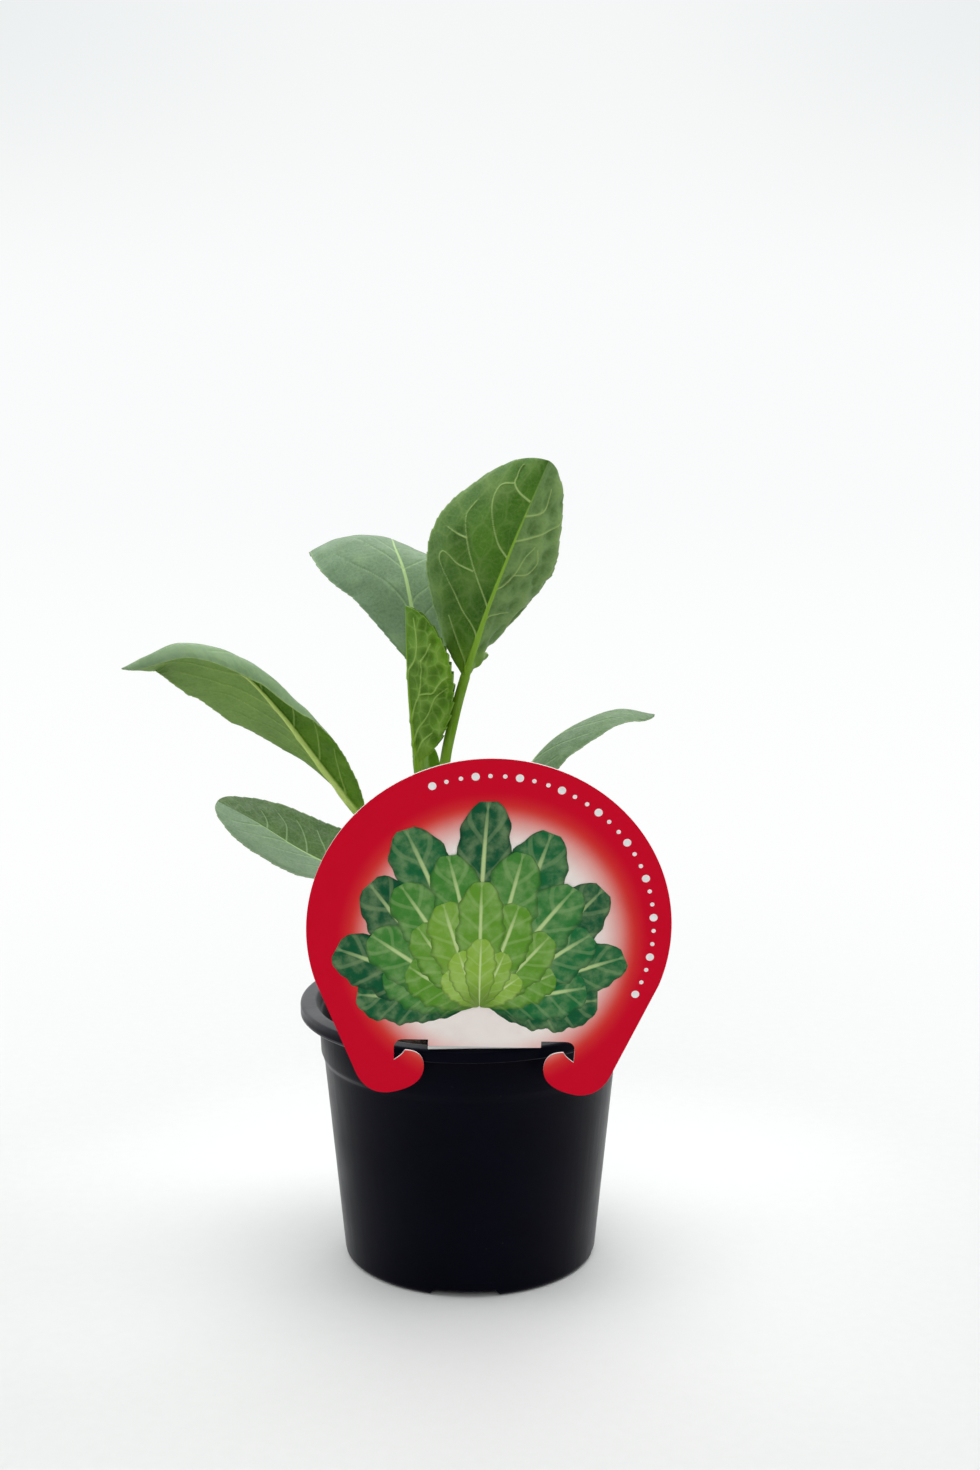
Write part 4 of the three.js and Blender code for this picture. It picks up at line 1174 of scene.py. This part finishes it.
def make_tab():
    line = tab_line()
    tangent = np.gradient(line, axis=0)
    tangent /= np.linalg.norm(tangent, axis=1)[:, None]
    normal = np.stack([-tangent[:, 1], tangent[:, 0]], -1) * LABEL_THICKNESS / 2
    half = np.interp(line[:, 0], [0.5, 2.5], [TONGUE_HALF, TAB_HALF])
    corner = np.clip((line[:, 1] + TAB_FOOT) / 2, 0, 1)
    half = half - 1.5 * (1 - corner)
    rings = []
    for k, (middle, out) in enumerate(zip(line, normal)):
        rings.append([
            (LABEL_OFFSET + sx * half[k], *(middle + sy * out)) for sx, sy in ((-1, 1), (1, 1), (1, -1), (-1, -1))
        ])
    points = np.array(rings).reshape(-1, 3)
    index = np.arange(len(points)).reshape(-1, 4)
    following = np.roll(index, -1, axis=1)
    faces = np.stack([index[:-1], following[:-1], following[1:], index[1:]], -1).reshape(-1, 4).tolist()
    faces += [index[0][::-1].tolist(), index[-1].tolist()]
    piece = mesh_piece("label_tab", label_to_pot(points), faces)
    edit(piece, outward)
    return piece


def make_label():
    outline = label_outline()
    deselect()
    bpy.ops.mesh.primitive_circle_add(vertices=len(outline), radius=0.01, fill_type="NGON")
    card = bpy.context.object
    card.name = "plant_label_card"
    flat = np.array([(x, 0, z) for x, z in outline])
    place_vertices(card, flat)

    def thicken():
        bpy.ops.mesh.extrude_region_move(TRANSFORM_OT_translate={"value": (0, LABEL_THICKNESS * MM, 0)})
        bpy.ops.mesh.select_all(action="SELECT")
        outward()

    edit(card, thicken)
    own = vertices_of(card)
    place_vertices(card, card_to_pot(own))
    layer = card.data.uv_layers.new(name="label")
    corners = np.empty(len(card.data.loops), int)
    card.data.loops.foreach_get("vertex_index", corners)
    layer.data.foreach_set("uv", (own[corners][:, [0, 2]] / 10).ravel())
    card.data.materials.append(print_material())
    card.data.materials.append(card_material())
    square = card_to_pot(np.array([(0, 0, 0), (0, -1, 0)]))
    front = Vector(square[1] - square[0])
    for face in card.data.polygons:
        face.material_index = 0 if face.normal.dot(front) > 0.9 else 1
    smooth(card, 30)
    finish_piece(card, "label", "plant_label")
    tab = make_tab()
    tab.data.materials.append(card_material())
    smooth(tab, 50)
    finish_piece(tab, "label")
    print_leaves()
    print_dots()


def card_material():
    material, tree = new_material("card_plastic")
    space = object_place(tree)
    cloud = noise_of(tree, space, 90.0, 4.0)
    colour = blend(tree, ranged(tree, cloud, 0.35, 0.7), rgb(208, 207, 204), rgb(213, 212, 209))
    rough = ranged(tree, cloud, 0.3, 0.7, 0.4, 0.5)
    bump = node(tree, "Bump", {"Height": noise_of(tree, space, 900.0, 2.0), "Strength": 0.06, "Distance": 0.0003})
    shader = node(tree, "BsdfPrincipled", {
        "Base Color": colour, "Roughness": rough, "Normal": bump.outputs["Normal"],
        "Specular IOR Level": 0.3,
    })
    put_out(tree, shader.outputs[0])
    return material


# The print: a fan of plain leaves in three rows, and a chain of small dots along one side.
# Each row: leaf count, spread in degrees, length at the sides and in the middle, half width, start from the foot
FAN_FOOT = (-2.0, 14.0)
FAN_ROWS = [
    (9, 174, 31.0, 58.0, 10.4, 3.5),
    (8, 150, 28.0, 48.0, 9.6, 2.5),
    (7, 124, 23.0, 36.5, 8.0, 1.0),
    (5, 92, 14.0, 21.5, 5.4, 0.0),
]
PRINT_STEP = 0.014
PRINT_BACK = 0.06
PRINT_ROWS = 44
PRINT_COLUMNS = 9
DOT_SPAN = (-24, 112)
DOT_COUNT = 28
DOT_REACH = 46.6
DOT_RADII = (0.62, 1.15)


def leaf_places(length, half, rng):
    """One printed leaf, growing up from (0, 0), with a softly lobed margin and a slight bend."""
    s = np.linspace(0, 1, PRINT_ROWS)
    width = half * 1.62 * (s + 0.015) ** 0.62 * (1.012 - s) ** 0.42
    lobes = 1 + 0.055 * np.sin(s * 27 + rng.uniform(0, 6)) + 0.03 * np.sin(s * 61 + rng.uniform(0, 6))
    bend = rng.uniform(-0.08, 0.08) * length * s**2
    across = np.linspace(-1, 1, PRINT_COLUMNS)
    ripple = 1 + 0.03 * np.sin(s[:, None] * 19 + across[None] * 2)
    x = (width * lobes)[:, None] * across[None] * ripple + bend[:, None]
    z = (s * length)[:, None] + 0.16 * (width * np.abs(lobes))[:, None] * np.abs(across)[None] * (1 - s[:, None])
    return x.ravel(), z.ravel(), s[:, None] + 0 * x, across[None] + 0 * x


def print_leaves():
    rng = np.random.default_rng(41)
    index = np.arange(PRINT_ROWS * PRINT_COLUMNS).reshape(PRINT_ROWS, PRINT_COLUMNS)
    quads = np.stack([index[:-1, :-1], index[:-1, 1:], index[1:, 1:], index[1:, :-1]], -1).reshape(-1, 4)
    points, faces, along_leaf, across_leaf, tones = [], [], [], [], []
    lift = PRINT_STEP
    for row, (count, spread, side_length, middle_length, half, start) in enumerate(FAN_ROWS):
        order = sorted(range(count), key=lambda k: -abs(k - (count - 1) / 2))
        for k in order:
            share = k / (count - 1) - 0.5
            bearing = share * spread + rng.uniform(-3, 3)
            length = middle_length + (side_length - middle_length) * (2 * abs(share)) ** 1.3
            length *= rng.uniform(0.95, 1.04)
            x, z, s, across = leaf_places(length, half * rng.uniform(0.92, 1.1), rng)
            x, z = turn_pair(x, z + start, -bearing)
            lift += PRINT_STEP
            flat = np.column_stack([x + FAN_FOOT[0], np.full(x.size, -lift), z + FAN_FOOT[1]])
            faces += (quads + len(points) * x.size).tolist()
            points.append(flat)
            along_leaf.append(s.ravel())
            across_leaf.append(across.ravel())
            tones.append(np.full(x.size, (row + rng.uniform(0.0, 0.8)) / len(FAN_ROWS)))
    piece = mesh_piece("label_print_leaves", card_to_pot(np.concatenate(points)), faces)
    give(piece, "along", np.concatenate(along_leaf))
    give(piece, "across", np.concatenate(across_leaf))
    give(piece, "tone", np.concatenate(tones))
    thicken_print(piece)
    piece.data.materials.append(print_leaf_material())
    finish_piece(piece, "label")


def thicken_print(piece):
    """Gives printed shapes a little depth, which ends inside the card."""
    deselect()
    piece.select_set(True)
    bpy.context.view_layer.objects.active = piece
    depth = piece.modifiers.new("depth", "SOLIDIFY")
    depth.thickness = PRINT_BACK * MM
    depth.offset = -1
    bpy.ops.object.modifier_apply(modifier=depth.name)
    deselect()


def print_dots():
    """A chain of small and larger dots along the right and upper edge."""
    turn = np.linspace(0, 2 * np.pi, 20, endpoint=False)
    points, faces = [], []
    for k, bearing in enumerate(np.linspace(*DOT_SPAN, DOT_COUNT)):
        radius = DOT_RADII[1] if k % 3 == 0 else DOT_RADII[0]
        x = DOT_REACH * math.cos(bearing * RAD) + radius * np.cos(turn)
        z = DISC_CENTRE + DOT_REACH * math.sin(bearing * RAD) + radius * np.sin(turn)
        faces.append(list(range(k * turn.size, (k + 1) * turn.size)))
        points.append(np.column_stack([x, np.full(x.size, -PRINT_STEP), z]))
    piece = mesh_piece("label_print_dots", card_to_pot(np.concatenate(points)), faces)
    thicken_print(piece)
    piece.data.materials.append(dot_material())
    finish_piece(piece, "label")


def dot_material():
    """White ink, a little uneven."""
    material, tree = new_material("label_white_ink")
    cloud = noise_of(tree, object_place(tree), 700.0, 3.0)
    ink = blend(tree, ranged(tree, cloud, 0.3, 0.7), rgb(244, 242, 240), rgb(254, 253, 252))
    shader = node(tree, "BsdfPrincipled", {"Base Color": ink, "Roughness": 0.36, "Specular IOR Level": 0.1})
    put_out(tree, shader.outputs[0])
    return material


def print_leaf_material():
    """Printed leaves: dark blue green behind, yellow green in front, each with a pale rib and veins."""
    material, tree = new_material("label_leaf_ink")
    space = object_place(tree)
    s = attribute(tree, "along")
    side = attribute(tree, "across")
    tone = attribute(tree, "tone")
    away = maths(tree, "ABSOLUTE", side)
    back_row = blend(tree, ranged(tree, tone, 0.0, 0.35), rgb(2, 84, 50), rgb(24, 116, 60))
    front_row = blend(tree, ranged(tree, tone, 0.45, 0.95), rgb(86, 148, 40), rgb(154, 194, 72))
    ink = blend(tree, ranged(tree, tone, 0.25, 0.55), back_row, front_row)
    cloud = noise_of(tree, space, 260.0, 4.0)
    pale = blend(tree, 0.35, ink, rgb(214, 236, 170))
    ink = blend(tree, ranged(tree, cloud, 0.35, 0.75, 0.0, 0.6), ink, pale)
    wave = maths(tree, "SINE", maths(tree, "ADD", maths(tree, "MULTIPLY", s, 34.0), maths(tree, "MULTIPLY", away, -5.5)))
    ink = blend(tree, ranged(tree, wave, 0.7, 0.98, 0.0, 0.4), ink, pale)
    deep = blend(tree, 0.6, ink, rgb(0, 34, 18))
    ink = blend(tree, ranged(tree, away, 0.8, 1.0, 0.0, 0.7), ink, deep)
    ink = blend(tree, ranged(tree, s, 0.0, 0.5, 0.75, 0.0), ink, deep)
    rib = maths(tree, "MULTIPLY", ranged(tree, away, 0.03, 0.1, 0.85, 0.0), ranged(tree, s, 0.7, 1.0, 1.0, 0.2))
    ink = blend(tree, rib, ink, rgb(206, 228, 158))
    shader = node(tree, "BsdfPrincipled", {
        "Base Color": ink, "Roughness": 0.34, "Specular IOR Level": 0.1,
    })
    put_out(tree, shader.outputs[0])
    return material


def print_material():
    material, tree = new_material("label_print")
    flat = node(tree, "UVMap", uv_map="label").outputs["UV"]
    axes = node(tree, "SeparateXYZ", {0: flat})
    colour = card_ground(tree, axes)
    cloud = noise_of(tree, flat, 1.2, 3.0)
    colour = blend(tree, ranged(tree, cloud, 0.4, 0.8, 0.0, 0.08), colour, rgb(176, 4, 30))
    rough = ranged(tree, cloud, 0.3, 0.7, 0.3, 0.4)
    bump = node(tree, "Bump", {"Height": noise_of(tree, flat, 60.0, 2.0), "Strength": 0.04, "Distance": 0.0002})
    shader = node(tree, "BsdfPrincipled", {
        "Base Color": colour, "Roughness": rough, "Normal": bump.outputs["Normal"], "Specular IOR Level": 0.05,
    })
    put_out(tree, shader.outputs[0])
    return material


# The pale glow on the card, in centimetres: its centre, half width and half height, and how soft it is
GLOW_CENTRE = (0.1, 3.3)
GLOW_HALF = (4.3, 4.5)


def card_ground(tree, axes):
    """Crimson, with a pale glow behind the leaves."""
    across = maths(tree, "DIVIDE", maths(tree, "SUBTRACT", axes.outputs[0], GLOW_CENTRE[0]), GLOW_HALF[0])
    up = maths(tree, "DIVIDE", maths(tree, "SUBTRACT", axes.outputs[1], GLOW_CENTRE[1]), GLOW_HALF[1])
    across = maths(tree, "MULTIPLY", across, across)
    up = maths(tree, "MULTIPLY", up, up)
    reach = maths(tree, "SQRT", maths(tree, "ADD", across, up))
    rose = blend(tree, ranged(tree, reach, 0.66, 0.96), rgb(255, 246, 240), rgb(232, 72, 58))
    return blend(tree, ranged(tree, reach, 0.84, 1.04), rose, rgb(217, 4, 42))


# Studio: pale floor that fades into a pale surround, soft light from above, both sides and behind
FLOOR_SIZE = 12.0
PAPER_NEAR = 0.75
PAPER_FAR = 0.61
PAPER_REACH = (0.1, 0.55)
SURROUND_LOW = (0.985, 0.99, 0.99, 1.0)
SURROUND_HIGH = (0.84, 0.865, 0.865, 1.0)


def make_floor():
    deselect()
    bpy.ops.mesh.primitive_circle_add(vertices=96, radius=FLOOR_SIZE, fill_type="NGON")
    floor = bpy.context.object
    floor.name = "floor"
    material, tree = new_material("floor_paper")
    space = object_place(tree)
    away = node(tree, "VectorMath", {0: space}, operation="LENGTH").outputs["Value"]
    grain = noise_of(tree, space, 240.0, 3.0)
    near = (PAPER_NEAR, PAPER_NEAR + 0.01, PAPER_NEAR + 0.005, 1.0)
    far = (PAPER_FAR, PAPER_FAR + 0.01, PAPER_FAR + 0.005, 1.0)
    # Painted light: the paper is lighter near the pot, which lifts the pot's shadow on it, and darker further out
    colour = blend(tree, ranged(tree, away, 0.05, 0.2), near, far)
    colour = blend(tree, ranged(tree, grain, 0.3, 0.7, 0.0, 0.03), colour, (1.0, 1.0, 1.0, 1.0))
    paper = node(tree, "BsdfDiffuse", {"Color": colour}).outputs[0]
    haze = blend(tree, ranged(tree, away, 0.4, 3.0), SURROUND_LOW, (0.955, 0.965, 0.97, 1.0))
    seen = maths(tree, "MULTIPLY_ADD", node(tree, "LightPath").outputs["Is Camera Ray"], 0.16, 0.84)
    glow = node(tree, "Emission", {"Color": haze, "Strength": seen}).outputs[0]
    surface = node(tree, "MixShader", {0: ranged(tree, away, *PAPER_REACH), 1: paper, 2: glow}).outputs[0]
    put_out(tree, surface)
    floor.data.materials.append(material)


def make_world():
    """Camera rays see a pale surround. Everything else sees soft light that is darker from the front."""
    world = bpy.data.worlds.new("studio")
    bpy.context.scene.world = world
    world.use_nodes = True
    tree = world.node_tree
    tree.nodes.clear()
    direction = node(tree, "TexCoord").outputs["Generated"]
    axes = node(tree, "SeparateXYZ", {0: direction})
    behind = ranged(tree, axes.outputs[1], -0.9, 0.5)
    above = ranged(tree, axes.outputs[2], 0.1, 0.9, 0.0, 0.85)
    light = maths(tree, "MAXIMUM", behind, above)
    beside = ranged(tree, maths(tree, "ABSOLUTE", axes.outputs[0]), 0.6, 1.0, 0.0, 0.3)
    strength = ranged(tree, maths(tree, "ADD", light, beside), 0.0, 1.0, 0.03, 1.0, soft=False)
    soft = node(tree, "Background", {"Color": (0.98, 0.99, 0.99, 1.0), "Strength": strength}).outputs[0]
    outward = ranged(tree, maths(tree, "ABSOLUTE", axes.outputs[0]), 0.04, 0.24, 0.35, 1.0)
    high = maths(tree, "MULTIPLY", ranged(tree, axes.outputs[2], 0.0, 0.14), outward)
    sky = blend(tree, high, (0.955, 0.965, 0.97, 1.0), SURROUND_HIGH)
    seen = node(tree, "Background", {"Color": sky, "Strength": 1.0}).outputs[0]
    camera = node(tree, "LightPath").outputs["Is Camera Ray"]
    mixed = node(tree, "MixShader", {0: camera, 1: soft, 2: seen}).outputs[0]
    out = node(tree, "OutputWorld")
    tree.links.new(mixed, out.inputs["Surface"])


def add_light(name, place, target, size, watts):
    deselect()
    bpy.ops.object.light_add(type="AREA", location=place)
    lamp = bpy.context.object
    lamp.name = name
    lamp.data.shape = "RECTANGLE"
    lamp.data.size, lamp.data.size_y = size
    lamp.data.energy = watts
    lamp.rotation_euler = (Vector(target) - Vector(place)).to_track_quat("-Z", "Y").to_euler()
    lamp.visible_camera = False


def make_lights():
    add_light("top_softbox", (0.0, 0.1, 0.95), (0, 0, 0.1), (0.9, 0.7), 4.2)
    add_light("back_softbox", (0.0, 0.85, 0.75), (0, 0, 0.1), (0.9, 0.5), 2.5)
    add_light("left_softbox", (-0.85, 0.1, 0.35), (0, 0, 0.12), (0.5, 0.9), 2.3)
    add_light("right_key", (0.65, 0.12, 0.75), (0, 0, 0.15), (0.5, 0.5), 1.5)
    add_light("front_fill", (-0.15, -1.1, 0.75), (0, 0, 0.15), (0.5, 0.3), 1.7)


add_camera()
make_pot()
make_compost()
make_stem()
make_leaves()
make_label()
make_floor()
make_world()
make_lights()
bpy.context.scene.view_settings.view_transform = "Standard"
